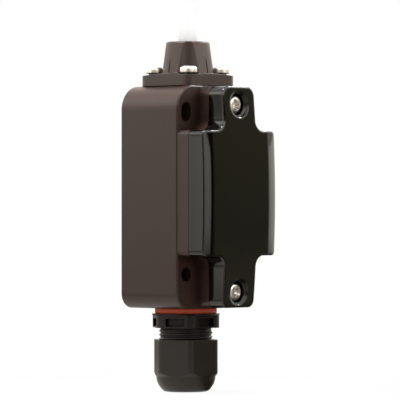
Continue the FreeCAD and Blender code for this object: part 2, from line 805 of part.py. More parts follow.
# Pieces of the plunger drive, all turned about the plunger axis
guide_bush = new_body("guide_bush", "axis_depth", TOP)
turn_profile(guide_bush, [
    ("plunger_radius + running_clearance", "bush_start"),
    ("bush_radius - fit_clearance", "bush_start"),
    ("bush_radius - fit_clearance", "bush_start + bush_length"),
    ("plunger_radius + running_clearance", "bush_start + bush_length"),
])
plunger_wiper = new_body("plunger_wiper", "axis_depth", TOP)
WIPER_TOP = f"({BOSS_TOP} - wiper_sunk)"
turn_profile(plunger_wiper, [
    ("plunger_radius + wiper_lip", WIPER_FLOOR),
    ("wiper_radius - fit_clearance", WIPER_FLOOR),
    ("wiper_radius - fit_clearance", WIPER_TOP),
    ("plunger_radius + running_clearance", WIPER_TOP),
])

RING_LOW = "(bush_start - ring_thickness)"
plunger = new_body("plunger", "axis_depth", TOP)
DOME_RADIUS = "((plunger_radius ^ 2 + plunger_dome ^ 2) / 2 / plunger_dome)"
turn_profile(plunger, [
    ("0", "-stem_reach"),
    ("stem_radius", "-stem_reach"),
    ("stem_radius", "plunger_step"),
    ("plunger_radius", "plunger_step"),
    ("plunger_radius", RING_LOW),
    ("ring_groove_radius", RING_LOW),
    ("ring_groove_radius", "bush_start"),
    ("plunger_radius", "bush_start"),
    ("plunger_radius", f"{BOSS_TOP} + plunger_stand - plunger_dome"),
    ("0", f"{BOSS_TOP} + plunger_stand", DOME_RADIUS, 1),
])
plunger_ring = new_body("plunger_ring", "axis_depth", TOP)
turn_profile(plunger_ring, [
    ("ring_groove_radius + fit_clearance / 2", RING_LOW),
    ("ring_radius", RING_LOW),
    ("ring_radius", "bush_start"),
    ("ring_groove_radius + fit_clearance / 2", "bush_start"),
])
ring_split = sketch(plunger_ring, "XY_Plane", "bush_start")
rectangle(ring_split, "0", "ring_radius + overrun", "-ring_gap / 2", "ring_gap / 2")
pocket(plunger_ring, ring_split, "ring_thickness")


def coil(label, coil_radius, wire_radius, turns, low, high):
    """Compression spring with closed end turns, standing about the plunger axis."""
    ring_radius, wire = number(coil_radius), number(wire_radius)
    bottom, top, count = number(low) + wire, number(high) - wire, number(turns)
    closed = CLOSED_PITCH * wire
    steps = round(count * SPRING_STEPS)
    sections = []
    for step in range(steps + 1):
        turned = step / SPRING_STEPS
        angle = 2 * math.pi * turned
        middle = min(max((turned - 1) / (count - 2), 0), 1)
        level = bottom + closed * min(turned, 1) + closed * max(turned - count + 1, 0)
        level += middle * (top - bottom - 2 * closed)
        outward = Vector(math.cos(angle), math.sin(angle), 0)
        corners = []
        for side in range(WIRE_SIDES + 1):
            around = 2 * math.pi * side / WIRE_SIDES
            reach = outward * (ring_radius + wire * math.cos(around))
            corners.append(reach + Vector(0, 0, level + wire * math.sin(around)))
        sections.append(Part.makePolygon(corners))
    made = document.addObject("Part::Feature", label)
    made.Label = label
    made.Shape = Part.makeLoft(sections, True, True)
    made.Placement = Placement(Vector(0, -number("axis_depth"), 0), Rotation())
    return made


coil(
    "plunger_spring",
    "plunger_spring_coil",
    "plunger_spring_wire",
    "plunger_spring_turns",
    f"{TOP} - spigot_seat",
    f"{TOP} + {RING_LOW}",
)

# Contact block: rear and front shells round one chamber, with the tappet's guide and spring well


def block_shell(label, back, length, reverse):
    """One shell of the contact block, hollowed from the plane of the plunger axis."""
    made = new_body(label)
    shell = sketch(made, "XZ_Plane", back)
    centred_rectangle(shell, BLOCK_WIDTH, "block_height")
    pad(made, shell, length)
    half = number(f"{BLOCK_WIDTH} / 2")
    fillet(
        made,
        "block_corner",
        lambda edge: runs_along(edge, DEPTHWAYS) and close(abs(edge.CenterOfMass.x), half),
    )
    chamber = sketch(made, "XZ_Plane", "axis_depth")
    centred_rectangle(chamber, CHAMBER_WIDTH, "chamber_height")
    pocket(made, chamber, "chamber_depth / 2", reverse=reverse)
    guide = sketch(made, "XY_Plane", "block_height / 2")
    circle(guide, "0", "-axis_depth", "stem_radius + guide_clearance")
    pocket(made, guide, "block_height / 2")
    well = sketch(made, "XY_Plane")
    circle(well, "0", "-axis_depth", "spring_well_radius")
    pocket(made, well, "chamber_height / 2 + spring_well_depth")
    holes = sketch(made, "XZ_Plane", f"{back} + {length}")
    for side in (-1, 1):
        circle(holes, f"{side} * {BLOCK_SCREW_PITCH} / 2", "0", "block_screw_passage")
    pocket(made, holes, length)
    return made


block_shell("contact_block_rear", BLOCK_BACK, f"(axis_depth - {BLOCK_BACK})", False)
block_front = block_shell("contact_block_front", "axis_depth", "(block_front - axis_depth)", True)
BREAK_STRIP = "(break_level + fixed_contact_height)"
MAKE_STRIP = f"({MAKE_LEVEL} - fixed_contact_height - strip_thickness)"
strip_slots = sketch(block_front, "XZ_Plane", "block_front")
for level in (BREAK_STRIP, MAKE_STRIP):
    for side in (-1, 1):
        inner = f"{side} * ({STRIP_INNER} - strip_slot_play)"
        outer = f"{side} * ({STRIP_INNER} + strip_width + strip_slot_play)"
        left, right = (inner, outer) if side > 0 else (outer, inner)
        rectangle(
            strip_slots,
            left,
            right,
            f"{level} - strip_slot_play",
            f"{level} + strip_thickness + strip_slot_play",
        )
pocket(block_front, strip_slots, "block_front - axis_depth")
terminal_holes = sketch(block_front, "XZ_Plane", "block_front")
for across, up in four_ways(TERMINAL_PITCH_X, "terminal_pitch_z"):
    circle(terminal_holes, across, up, "terminal_screw_hole")
terminal_grip = "(strip_thickness + clamp_thickness)"
pocket(block_front, terminal_holes, f"terminal_screw_length - {terminal_grip} + screw_end_gap")
barrier = sketch(block_front, "XZ_Plane", "block_front")
centred_rectangle(barrier, "barrier_width", "block_height")
pad(block_front, barrier, "barrier_height")
cross_barrier = sketch(block_front, "XZ_Plane", "block_front")
centred_rectangle(cross_barrier, f"({BLOCK_SCREW_PITCH} - 2 * cross_barrier_gap)", "barrier_width")
pad(block_front, cross_barrier, "barrier_height")

block_screws = new_body("block_screws")
facing_front(block_screws, f"-{BLOCK_SCREW_PITCH} / 2", "block_front", "0")
screw_set(block_screws, "block_screw", "block_screw_radius", [("X_Axis", BLOCK_SCREW_PITCH)])

# Tappet: slider with one window for each contact bar
tappet = new_body("tappet", "axis_depth")
tappet_top = "(chamber_height / 2 - tappet_end_gap)"
tappet_body = sketch(tappet, "XY_Plane", TAPPET_FOOT)
centred_rectangle(tappet_body, "tappet_width", "tappet_depth")
pad(tappet, tappet_body, f"{tappet_top} - {TAPPET_FOOT}")
windows = sketch(tappet, "YZ_Plane", "-tappet_width / 2 - overrun")
rectangle(
    windows,
    "-window_depth / 2",
    "window_depth / 2",
    f"{BREAK_WINDOW_TOP} - break_window",
    BREAK_WINDOW_TOP,
)
rectangle(
    windows,
    "-window_depth / 2",
    "window_depth / 2",
    f"{TAPPET_FOOT} + tappet_foot",
    MAKE_WINDOW_TOP,
)
pocket(tappet, windows, "tappet_width + 2 * overrun", reverse=True)
top_pin = sketch(tappet, "XY_Plane", tappet_top)
circle(top_pin, "0", "0", "stem_radius")
pad(tappet, top_pin, f"{TOP} - stem_reach - tappet_pin_gap - {tappet_top}")
foot_pin = sketch(tappet, "XY_Plane", TAPPET_FOOT)
circle(foot_pin, "0", "0", "tappet_foot_pin_radius")
pad(tappet, foot_pin, "tappet_foot_pin_length", reverse=True)
coil(
    "tappet_spring",
    "tappet_spring_coil",
    "tappet_spring_wire",
    "tappet_spring_turns",
    "-chamber_height / 2 - spring_well_depth",
    TAPPET_FOOT,
)


def contact_bar(label, level, contact_level, upward):
    """Moving contact bar with a square contact near each end."""
    made = new_body(label, "axis_depth")
    bar = sketch(made, "XY_Plane", level)
    centred_rectangle(bar, BRIDGE_LENGTH, "bridge_width")
    pad(made, bar, "strip_thickness")
    fillet(made, "bridge_corner", lambda edge: runs_along(edge, UPRIGHT))
    contacts = sketch(made, "XY_Plane", contact_level)
    for side in (-1, 1):
        middle_x = f"{side} * {CONTACT_SPACING} / 2"
        rectangle(
            contacts,
            f"{middle_x} - contact_width / 2",
            f"{middle_x} + contact_width / 2",
            "-contact_width / 2",
            "contact_width / 2",
        )
    pad(made, contacts, "contact_height", reverse=not upward)
    return made


contact_bar("break_bridge", BREAK_BAR, f"{BREAK_BAR} + strip_thickness", True)
contact_bar("make_bridge", MAKE_BAR, MAKE_BAR, False)
coil(
    "break_contact_spring",
    "contact_spring_coil",
    "contact_spring_wire",
    "contact_spring_turns",
    f"{BREAK_WINDOW_TOP} - break_window",
    BREAK_BAR,
)
coil(
    "make_contact_spring",
    "contact_spring_coil",
    "contact_spring_wire",
    "contact_spring_turns",
    f"{MAKE_BAR} + strip_thickness",
    MAKE_WINDOW_TOP,
)


def terminal_pair(label, strip_level, contact_level, plate_low, plate_high):
    """Two bent contact strips, mirrored left and right, each with a contact and a screw plate."""
    made = new_body(label)
    first_features = []
    leaf = sketch(made, "XY_Plane", strip_level)
    rectangle(leaf, STRIP_INNER, f"{STRIP_INNER} + strip_width", "-block_front", "-strip_back")
    first_features.append(pad(made, leaf, "strip_thickness"))
    plate = sketch(made, "XZ_Plane", "block_front")
    rectangle(plate, STRIP_INNER, f"{STRIP_INNER} + plate_width", plate_low, plate_high)
    circle(
        plate,
        f"{TERMINAL_PITCH_X} / 2",
        f"{'-' if number(strip_level) < 0 else ''}terminal_pitch_z / 2",
        "terminal_passage",
    )
    first_features.append(pad(made, plate, "strip_thickness"))
    contact = sketch(made, "XY_Plane", contact_level)
    rectangle(
        contact,
        f"({CONTACT_SPACING} - contact_width) / 2",
        f"({CONTACT_SPACING} + contact_width) / 2",
        "-axis_depth - contact_width / 2",
        "-axis_depth + contact_width / 2",
    )
    first_features.append(pad(made, contact, "fixed_contact_height"))
    mirror = made.newObject("PartDesign::Mirrored", f"{made.Name}_mirror")
    mirror.Originals = first_features
    mirror.MirrorPlane = (datum(made, "YZ_Plane"), [""])
    made.Tip = mirror
    document.recompute()
    return made


terminal_pair("break_terminals", BREAK_STRIP, "break_level", BREAK_STRIP, "block_height / 2")
terminal_pair(
    "make_terminals",
    MAKE_STRIP,
    f"{MAKE_LEVEL} - fixed_contact_height",
    "-block_height / 2",
    f"{MAKE_STRIP} + strip_thickness",
)

terminal_clamps = new_body("terminal_clamps")
clamps = sketch(terminal_clamps, "XZ_Plane", "block_front + strip_thickness")
for across, up in four_ways(TERMINAL_PITCH_X, "terminal_pitch_z"):
    rectangle(
        clamps,
        f"{across} - clamp_width / 2",
        f"{across} + clamp_width / 2",
        f"{up} - clamp_width / 2",
        f"{up} + clamp_width / 2",
    )
    circle(clamps, across, up, "terminal_passage")
pad(terminal_clamps, clamps, "clamp_thickness")

terminal_screws = new_body("terminal_screws")
facing_front(
    terminal_screws,
    f"-{TERMINAL_PITCH_X} / 2",
    "block_front + strip_thickness + clamp_thickness",
    "-terminal_pitch_z / 2",
)
terminal_steps = [("X_Axis", TERMINAL_PITCH_X), ("Y_Axis", "terminal_pitch_z")]
screw_set(terminal_screws, "terminal_screw", "terminal_screw_radius", terminal_steps)

# Gland: seal ring, body with a pocketed hexagon, rubber sleeve, clamping insert and dome nut


def flats_cut(body, across_flats, rounding, blank_radius, low, high, turn):
    """Cut a hexagon with rounded corners from a round blank, one corner after another."""
    cutter = sketch(body, "XY_Plane", high)
    half = f"({across_flats} / 2)"
    straight = f"(({half} - {rounding}) / sqrt(3))"
    reach = f"({blank_radius} + overrun)"
    outline(cutter, [
        (reach, "-overrun"),
        (half, "-overrun"),
        (half, straight),
        (f"({half} + sqrt(3) * {straight}) / 2", f"(sqrt(3) * {half} - {straight}) / 2", rounding, 1),
        (f"({half} - sqrt(3) * overrun) / 2", f"(sqrt(3) * {half} + overrun) / 2"),
        (f"({reach} - sqrt(3) * overrun) / 2", f"(sqrt(3) * {reach} + overrun) / 2"),
        (reach, f"{reach} / sqrt(3)"),
    ])
    cutter.setExpression("AttachmentOffset.Rotation.Angle", linked(turn))
    first = pocket(body, cutter, f"{high} - {low}")
    ring = body.newObject("PartDesign::PolarPattern", f"{body.Name}_flats")
    ring.Originals = [first]
    ring.Axis = (datum(body, "Z_Axis"), [""])
    ring.Angle = 360
    ring.Occurrences = 6
    body.Tip = ring
    document.recompute()


gland_seal_ring = new_body("gland_seal_ring", "gland_depth", BOTTOM)
turn_profile(gland_seal_ring, [
    ("gland_thread_radius + fit_clearance", "0"),
    ("seal_ring_radius - seal_ring_edge", "0"),
    ("seal_ring_radius", "-seal_ring_edge"),
    ("seal_ring_radius", "-seal_ring_thickness + seal_ring_edge"),
    ("seal_ring_radius - seal_ring_edge", "-seal_ring_thickness"),
    ("gland_thread_radius + fit_clearance", "-seal_ring_thickness"),
])

gland_body = new_body("gland_body", "gland_depth", BOTTOM)
turn_profile(gland_body, [
    ("gland_bore_radius", "gland_stem_length"),
    ("gland_bore_radius", COLLAR_END),
    ("gland_seal_bore_radius", COLLAR_END),
    ("gland_seal_bore_radius", SPIGOT_END),
    ("gland_core_radius - gland_edge", SPIGOT_END),
    ("gland_core_radius", f"{SPIGOT_END} + gland_edge"),
    ("gland_core_radius", COLLAR_END),
    ("gland_collar_corner", COLLAR_END),
    ("gland_collar_corner", COLLAR_TOP),
    ("gland_flange_radius", COLLAR_TOP),
    ("gland_flange_radius", "-seal_ring_thickness"),
    ("gland_thread_radius - fit_clearance", "-seal_ring_thickness"),
    ("gland_thread_radius - fit_clearance", "gland_stem_length - gland_edge"),
    ("gland_thread_radius - fit_clearance - gland_edge", "gland_stem_length"),
])
flats_cut(
    gland_body,
    "gland_collar_flats",
    "gland_collar_rounding",
    "gland_collar_corner",
    COLLAR_END,
    COLLAR_TOP,
    "gland_collar_turn",
)
POCKET_FLOOR = "(gland_collar_flats / 2 - collar_pocket_depth)"
POCKET_TOP = f"({COLLAR_END} + collar_pocket_height + collar_pocket_margin)"
pocket_cutter = sketch(gland_body, "XY_Plane", POCKET_TOP)
rectangle(
    pocket_cutter,
    POCKET_FLOOR,
    "gland_collar_corner + overrun",
    "-collar_pocket_width / 2",
    "collar_pocket_width / 2",
)
pocket_cutter.setExpression("AttachmentOffset.Rotation.Angle", linked("gland_collar_turn"))
collar_pocket = pocket(gland_body, pocket_cutter, "collar_pocket_height")
collar_pockets = gland_body.newObject("PartDesign::PolarPattern", "collar_pockets")
collar_pockets.Originals = [collar_pocket]
collar_pockets.Axis = (datum(gland_body, "Z_Axis"), [""])
collar_pockets.Angle = 360
collar_pockets.Occurrences = 6
gland_body.Tip = collar_pockets
document.recompute()

gland_rubber_seal = new_body("gland_rubber_seal", "gland_depth", BOTTOM)
turn_profile(gland_rubber_seal, [
    ("rubber_bore_radius", RUBBER_END),
    ("rubber_radius", RUBBER_END),
    ("rubber_radius", COLLAR_END),
    ("rubber_bore_radius", COLLAR_END),
])

gland_clamp_insert = new_body("gland_clamp_insert", "gland_depth", BOTTOM)
turn_profile(gland_clamp_insert, [
    ("insert_bore_radius", NUT_SEAT),
    ("insert_radius", NUT_SEAT),
    ("insert_radius", RUBBER_END),
    ("insert_bore_radius", RUBBER_END),
])
insert_slot = sketch(gland_clamp_insert, "XY_Plane", f"{RUBBER_END} - insert_root")
rectangle(
    insert_slot,
    "0",
    "insert_radius + overrun",
    "-insert_slot_width / 2",
    "insert_slot_width / 2",
)
first_slot = pocket(gland_clamp_insert, insert_slot, f"{RUBBER_END} - {NUT_SEAT} - insert_root")
insert_slots = gland_clamp_insert.newObject("PartDesign::PolarPattern", "insert_slots")
insert_slots.Originals = [first_slot]
insert_slots.Axis = (datum(gland_clamp_insert, "Z_Axis"), [""])
insert_slots.Angle = 360
insert_slots.Occurrences = 8
gland_clamp_insert.Tip = insert_slots
document.recompute()

gland_dome_nut = new_body("gland_dome_nut", "gland_depth", BOTTOM)
HEXAGON_END = f"({NUT_TOP} - nut_hexagon_height)"
SHOULDER_END = f"({HEXAGON_END} - nut_shoulder_height)"
THREAD_END = f"({SPIGOT_END} - nut_gap)"
turn_profile(gland_dome_nut, [
    ("gland_thread_radius + fit_clearance", NUT_TOP),
    ("gland_thread_radius + fit_clearance", THREAD_END),
    ("nut_seat_radius", THREAD_END),
    ("nut_seat_radius", NUT_SEAT),
    ("nut_mouth_radius", NUT_SEAT),
    ("nut_mouth_radius", NUT_END),
    ("nut_end_radius", NUT_END),
    ("nut_shoulder_radius", SHOULDER_END, "nut_dome_radius", 1),
    ("nut_corner", HEXAGON_END),
    ("nut_corner", NUT_TOP),
])
flats_cut(
    gland_dome_nut,
    "nut_flats",
    "nut_rounding",
    "nut_corner",
    SHOULDER_END,
    NUT_TOP,
    "nut_turn",
)

# Test every object, then write each sub-part
document.recompute()
for item in document.Objects:
    if "Invalid" in item.State or "Error" in item.State:
        raise ValueError(f"{item.Name} failed: {item.State}")
sub_parts = [item for item in document.Objects if item.TypeId in ("PartDesign::Body", "Part::Feature")]
for item in sub_parts:
    if item.Shape.isNull() or not item.Shape.isValid() or not item.Shape.Solids:
        raise ValueError(f"{item.Label} has no valid shape")
os.makedirs("parts", exist_ok=True)
for item in sub_parts:
    item.Shape.exportStep(f"parts/{item.Label}.step")
    print(f"{item.Label}: {len(item.Shape.Solids)} solids, {item.Shape.Volume:.1f} mm3")
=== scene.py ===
import json
import math

import bmesh
import bpy
from mathutils import Matrix, Vector


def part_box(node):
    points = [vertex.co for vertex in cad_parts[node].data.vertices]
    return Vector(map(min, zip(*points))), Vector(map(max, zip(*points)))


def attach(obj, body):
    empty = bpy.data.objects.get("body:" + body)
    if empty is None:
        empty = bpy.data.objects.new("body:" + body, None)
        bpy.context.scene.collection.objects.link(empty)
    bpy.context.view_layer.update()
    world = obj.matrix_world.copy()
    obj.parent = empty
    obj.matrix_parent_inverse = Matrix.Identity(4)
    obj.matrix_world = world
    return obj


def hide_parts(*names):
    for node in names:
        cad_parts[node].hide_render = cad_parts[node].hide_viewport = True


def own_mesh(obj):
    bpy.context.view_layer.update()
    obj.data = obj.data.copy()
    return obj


# Looks, light and camera of the plunger limit switch. Blender works in metres; sizes here are in
# millimetres and turned into metres by MM.
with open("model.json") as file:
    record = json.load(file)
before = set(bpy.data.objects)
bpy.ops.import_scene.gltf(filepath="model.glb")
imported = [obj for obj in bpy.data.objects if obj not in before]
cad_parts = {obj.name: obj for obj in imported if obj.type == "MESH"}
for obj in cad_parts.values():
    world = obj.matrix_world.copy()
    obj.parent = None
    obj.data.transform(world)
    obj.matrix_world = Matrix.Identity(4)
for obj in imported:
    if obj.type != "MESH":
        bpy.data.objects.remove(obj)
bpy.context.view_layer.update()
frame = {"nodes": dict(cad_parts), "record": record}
MM = 0.001
# Depth of the plunger's axis, of the gland's axis, and of the seam between collar and cover
PLUNGER_Y = -15.1
GLAND_Y = -14.1
SEAM_Y = -34.0


# Materials


def srgb(code):
    """Linear colour of a hexadecimal screen colour."""
    parts = [int(code[place:place + 2], 16) / 255 for place in (0, 2, 4)]
    linear = [part / 12.92 if part <= 0.04045 else ((part + 0.055) / 1.055) ** 2.4 for part in parts]
    return (*linear, 1.0)


def shade(colour, factor):
    """The colour made lighter or darker."""
    return (*[min(part * factor, 1.0) for part in colour[:3]], 1.0)


def put(tree, socket, value):
    """Link a socket's value or set it."""
    if isinstance(value, bpy.types.NodeSocket):
        tree.links.new(value, socket)
    else:
        socket.default_value = value


def add(tree, kind, settings=None, **inputs):
    """New node with its settings and inputs; an underscore stands for the space in an input's name."""
    node = tree.nodes.new(kind)
    for key, value in (settings or {}).items():
        setattr(node, key, value)
    for key, value in inputs.items():
        put(tree, node.inputs[key.replace("_", " ")], value)
    return node


def compute(tree, operation, first, second=0.0):
    """Result of a math node."""
    node = add(tree, "ShaderNodeMath", {"operation": operation})
    put(tree, node.inputs[0], first)
    put(tree, node.inputs[1], second)
    return node.outputs["Value"]


def mix_colour(tree, factor, first, second):
    """Colour between two colours."""
    node = tree.nodes.new("ShaderNodeMix")
    node.data_type = "RGBA"
    put(tree, node.inputs[0], factor)
    put(tree, node.inputs[6], first)
    put(tree, node.inputs[7], second)
    return node.outputs[2]


def spread(tree, value, low, high, start=0.3, end=0.7):
    """Map a noise value to a range."""
    node = add(tree, "ShaderNodeMapRange", Value=value, From_Min=start, From_Max=end, To_Min=low, To_Max=high)
    return node.outputs["Result"]


def noise(tree, place, size, detail=2.0, roughness=0.5):
    """Noise whose features are about the size in millimetres."""
    node = add(tree, "ShaderNodeTexNoise", Vector=place, Scale=1 / (size * MM), Detail=detail, Roughness=roughness)
    return node.outputs["Fac"]


def stretched(tree, place, scale):
    """Coordinates scaled differently along X, Y and Z."""
    return add(tree, "ShaderNodeMapping", Vector=place, Scale=scale).outputs["Vector"]


def empty_material(name):
    """New material with no nodes but the object coordinates."""
    made = bpy.data.materials.new(name)
    made.use_nodes = True
    tree = made.node_tree
    tree.nodes.clear()
    return made, tree, tree.nodes.new("ShaderNodeTexCoord").outputs["Object"]


def show(tree, surface, kind="ShaderNodeOutputMaterial"):
    """Link a shader's socket to a new output."""
    tree.links.new(surface, tree.nodes.new(kind).inputs["Surface"])


def blank(name):
    """New material with a principled shader, and the object coordinates."""
    made, tree, place = empty_material(name)
    shader = tree.nodes.new("ShaderNodeBsdfPrincipled")
    show(tree, shader.outputs["BSDF"])
    return made, tree, shader, place


def edge_radius(tree, place, edge):
    """Radius of the softened edges, in metres: none beside the close seam between collar and cover."""
    across = add(tree, "ShaderNodeSeparateXYZ", Vector=place).outputs["Y"]
    apart = compute(tree, "ABSOLUTE", compute(tree, "SUBTRACT", across, SEAM_Y * MM))
    return compute(tree, "MULTIPLY", spread(tree, apart, 0.0, 1.0, 0.7 * MM, 1.5 * MM), edge * MM)


def openness(tree, reach):
    """1 in the open and less in nooks narrower than the reach in millimetres."""
    return add(tree, "ShaderNodeAmbientOcclusion", {"samples": 8}, Distance=reach * MM).outputs["AO"]


def relief(tree, layers, radius):
    """Normal from rounded edges and layers of bumps; each layer is (height value, depth in millimetres)."""
    normal = add(tree, "ShaderNodeBevel", {"samples": 6}, Radius=radius).outputs["Normal"]
    for height, depth in layers:
        bump = add(tree, "ShaderNodeBump", Height=height, Distance=depth * MM, Strength=1.0, Normal=normal)
        normal = bump.outputs["Normal"]
    return normal


def worn_edge(tree, radius):
    """1 on edges and 0 on faces, from the rounded normal."""
    rounded = add(tree, "ShaderNodeBevel", {"samples": 4}, Radius=radius).outputs["Normal"]
    flat = tree.nodes.new("ShaderNodeNewGeometry").outputs["Normal"]
    facing = add(tree, "ShaderNodeVectorMath", {"operation": "DOT_PRODUCT"})
    tree.links.new(rounded, facing.inputs[0])
    tree.links.new(flat, facing.inputs[1])
    return spread(tree, facing.outputs["Value"], 1.0, 0.0, 0.85, 0.995)


# Reach in millimetres of the painted shade in nooks, the share of the colour that this painted shade leaves there,
# and a shader's usual shine
NOOK_REACH = 6.0
NOOK_SHADE = 0.2
SHINE = 0.5


def moulded(
    name, colour, roughness, grain=0.3, grain_depth=0.006, edge=0.3, swirl=0.08, wear=1.12, ior=1.5, painted_nook_brightness=1.0
):
    """Moulded plastic: flow marks, fine grain, slightly polished edges, and painted shade in nooks (a darker colour
    and a weaker shine) where the nook brightness is below 1.
    """
    made, tree, shader, place = blank(name)
    flow = noise(tree, stretched(tree, place, (1.0, 1.0, 0.35)), 14.0, 3.0, 0.55)
    cloud = noise(tree, place, 3.5, 4.0, 0.6)
    fine = noise(tree, place, grain, 3.0, 0.65)
    base = mix_colour(tree, spread(tree, flow, 0.0, 1.0), shade(colour, 1 - swirl), shade(colour, 1 + swirl))
    speckled = mix_colour(tree, spread(tree, fine, 0.0, 1.0), shade(colour, 0.86), shade(colour, 1.16))
    body = mix_colour(tree, 0.4, base, speckled)
    edges = worn_edge(tree, edge_radius(tree, place, edge * 1.4))
    worn = mix_colour(tree, edges, body, shade(colour, wear))
    # Painted shade: by ambient occlusion, nooks get a darker colour and a weaker shine, so from here worn holds both
    # edge wear and this painted shade
    if painted_nook_brightness < 1.0:
        open_air = openness(tree, NOOK_REACH)
        worn = mix_colour(tree, spread(tree, open_air, 1.0 - painted_nook_brightness, 0.0, 0.3, 0.9), worn, shade(colour, NOOK_SHADE))
        put(tree, shader.inputs["Specular IOR Level"], spread(tree, open_air, SHINE * painted_nook_brightness, SHINE, 0.3, 0.8))
    put(tree, shader.inputs["Base Color"], worn)
    patchy = spread(tree, cloud, -0.035, 0.035)
    grainy = spread(tree, fine, roughness - 0.03, roughness + 0.03)
    put(tree, shader.inputs["Roughness"], compute(tree, "ADD", patchy, grainy))
    shader.inputs["IOR"].default_value = ior
    layers = [(cloud, grain_depth * 1.2), (fine, grain_depth)]
    put(tree, shader.inputs["Normal"], relief(tree, layers, edge_radius(tree, place, edge)))
    return made


def glossy(name, colour, roughness, wave=0.004, edge=0.5, draft=0.0, ior=1.65):
    """High gloss moulding: draft in degrees on the walls, slow waves, dust-fine grain, hair scratches."""
    made, tree, shader, place = blank(name)
    depth = add(tree, "ShaderNodeSeparateXYZ", Vector=place).outputs["Y"]
    slow = noise(tree, place, 9.0, 2.0, 0.4)
    fine = noise(tree, place, 0.25, 2.0, 0.6)
    hair = noise(tree, stretched(tree, place, (1.0, 1.0, 0.08)), 0.5, 3.0, 0.7)
    base = mix_colour(tree, spread(tree, slow, 0.0, 1.0), shade(colour, 0.85), shade(colour, 1.15))
    put(tree, shader.inputs["Base Color"], mix_colour(tree, spread(tree, fine, 0.0, 0.5), base, shade(colour, 1.3)))
    put(tree, shader.inputs["Roughness"], spread(tree, hair, roughness, roughness + 0.05, 0.45, 0.8))
    shader.inputs["IOR"].default_value = ior
    layers = [(depth, math.tan(math.radians(draft)) / MM), (slow, wave), (fine, 0.0004)]
    put(tree, shader.inputs["Normal"], relief(tree, layers, edge_radius(tree, place, edge)))
    return made


# Colour of the painted shade in a metal's nooks, its reach in millimetres, and how a metal's grain is stretched
RECESS_SHADE = srgb("1a1712")
RECESS_SHADE_REACH = 0.9
EVEN = (1.0, 1.0, 1.0)
LENGTHWAYS = (1.0, 1.0, 12.0)
CROSSWAYS = (0.15, 1.0, 1.0)


def metal(name, colour, roughness, grain=0.25, depth=0.003, edge=0.15, stretch=EVEN, stain=0.12, recess_shade=0.5):
    """Plated or drawn metal: uneven brightness, brushed or peened grain, rounded edges, painted shade in its nooks.
    """
    made, tree, shader, place = blank(name)
    cloud = noise(tree, place, 1.6, 4.0, 0.6)
    fine = noise(tree, stretched(tree, place, stretch), grain, 4.0, 0.7)
    base = mix_colour(tree, spread(tree, cloud, 0.0, 1.0), shade(colour, 1 - stain), shade(colour, 1 + stain))
    worn = mix_colour(tree, spread(tree, fine, 0.0, 0.35), base, shade(colour, 0.7))
    # Painted shade: by ambient occlusion the colour turns dark in recesses such as the screws' cross
    recess_shaded = spread(tree, openness(tree, RECESS_SHADE_REACH), recess_shade, 0.0, 0.45, 0.95)
    put(tree, shader.inputs["Base Color"], mix_colour(tree, recess_shaded, worn, RECESS_SHADE))
    shader.inputs["Metallic"].default_value = 1.0
    put(tree, shader.inputs["Roughness"], spread(tree, fine, roughness - 0.06, roughness + 0.1))
    put(tree, shader.inputs["Normal"], relief(tree, [(cloud, depth), (fine, depth * 0.6)], edge * MM))
    return made


def rubber(name, colour, roughness=0.6):
    """Moulded rubber: matte, finely pitted, paler where it is rubbed."""
    made, tree, shader, place = blank(name)
    cloud = noise(tree, place, 2.5, 3.0, 0.6)
    fine = noise(tree, place, 0.2, 3.0, 0.7)
    base = mix_colour(tree, spread(tree, cloud, 0.0, 1.0), shade(colour, 0.82), shade(colour, 1.18))
    put(tree, shader.inputs["Base Color"], mix_colour(tree, spread(tree, fine, 0.0, 0.4), base, shade(colour, 1.4)))
    put(tree, shader.inputs["Roughness"], spread(tree, fine, roughness - 0.08, roughness + 0.08))
    put(tree, shader.inputs["Normal"], relief(tree, [(fine, 0.006), (cloud, 0.01)], 0.25 * MM))
    return made


# Each look: name, colour and roughness; grain size, depth of the relief and edge in millimetres
looks = {
    # moulded_brown carries painted shade in its nooks, such as under the head's flange and in the recesses
    "moulded_brown": moulded("moulded_brown", srgb("2a160d"), 0.39, 0.35, 0.004, 0.3, ior=1.53, painted_nook_brightness=0.25),
    "head_brown": moulded("head_brown", srgb("2e1a13"), 0.43, 0.3, 0.006, 0.3, ior=1.57),
    "gloss_black": glossy("gloss_black", srgb("070604"), 0.05, edge=1.05, draft=4.0),
    "seal_rubber": rubber("seal_rubber", srgb("1d1c1b")),
    "red_seal": rubber("red_seal", srgb("aa3704"), 0.55),
    # zinc_steel carries strong painted shade in the screws' cross recesses
    "zinc_steel": metal("zinc_steel", srgb("efe6df"), 0.34, 0.5, 0.02, stain=0.22, recess_shade=0.9),
    "spring_steel": metal("spring_steel", srgb("b9b9bb"), 0.28, 0.12, 0.002, 0.05),
    "bearing_brass": metal("bearing_brass", srgb("c79a55"), 0.3, 0.2, 0.002, 0.1, LENGTHWAYS),
    "contact_brass": metal("contact_brass", srgb("cfa869"), 0.26, 0.3, 0.002, 0.1, CROSSWAYS),
    "white_plastic": moulded("white_plastic", srgb("f8f8f8"), 0.4, 0.3, 0.003, 0.2, swirl=0.01, wear=1.01),
    "block_plastic": moulded("block_plastic", srgb("242322"), 0.5, 0.25, 0.006, 0.2),
    "tappet_plastic": moulded("tappet_plastic", srgb("7b2a1e"), 0.45, 0.25, 0.004, 0.15),
    "gland_plastic": moulded("gland_plastic", srgb("160d06"), 0.36, 0.3, 0.005, 0.25),
    # Shaded copy of gland_plastic for the gland body: painted shade in its darker colour, lower shine and nooks
    "gland_thread_plastic": moulded(
        "gland_thread_plastic", srgb("120b05"), 0.36, 0.3, 0.005, 0.25, ior=1.42, painted_nook_brightness=0.3
    ),
    "insert_plastic": moulded("insert_plastic", srgb("2b2a29"), 0.5, 0.25, 0.005, 0.15),
}

# The gland body gets a shaded copy of its nut's plastic: painted shade as a darker colour, a weaker shine and darker
# nooks
slots = {part["node"]: part["material_slot"] for part in frame["record"]["subparts"]}
for node, thing in frame["nodes"].items():
    thing.data.materials.clear()
    thing.data.materials.append(looks["gland_thread_plastic" if node == "gland_body" else slots[node]])


# Pieces


MERGE_DISTANCE = 1e-4


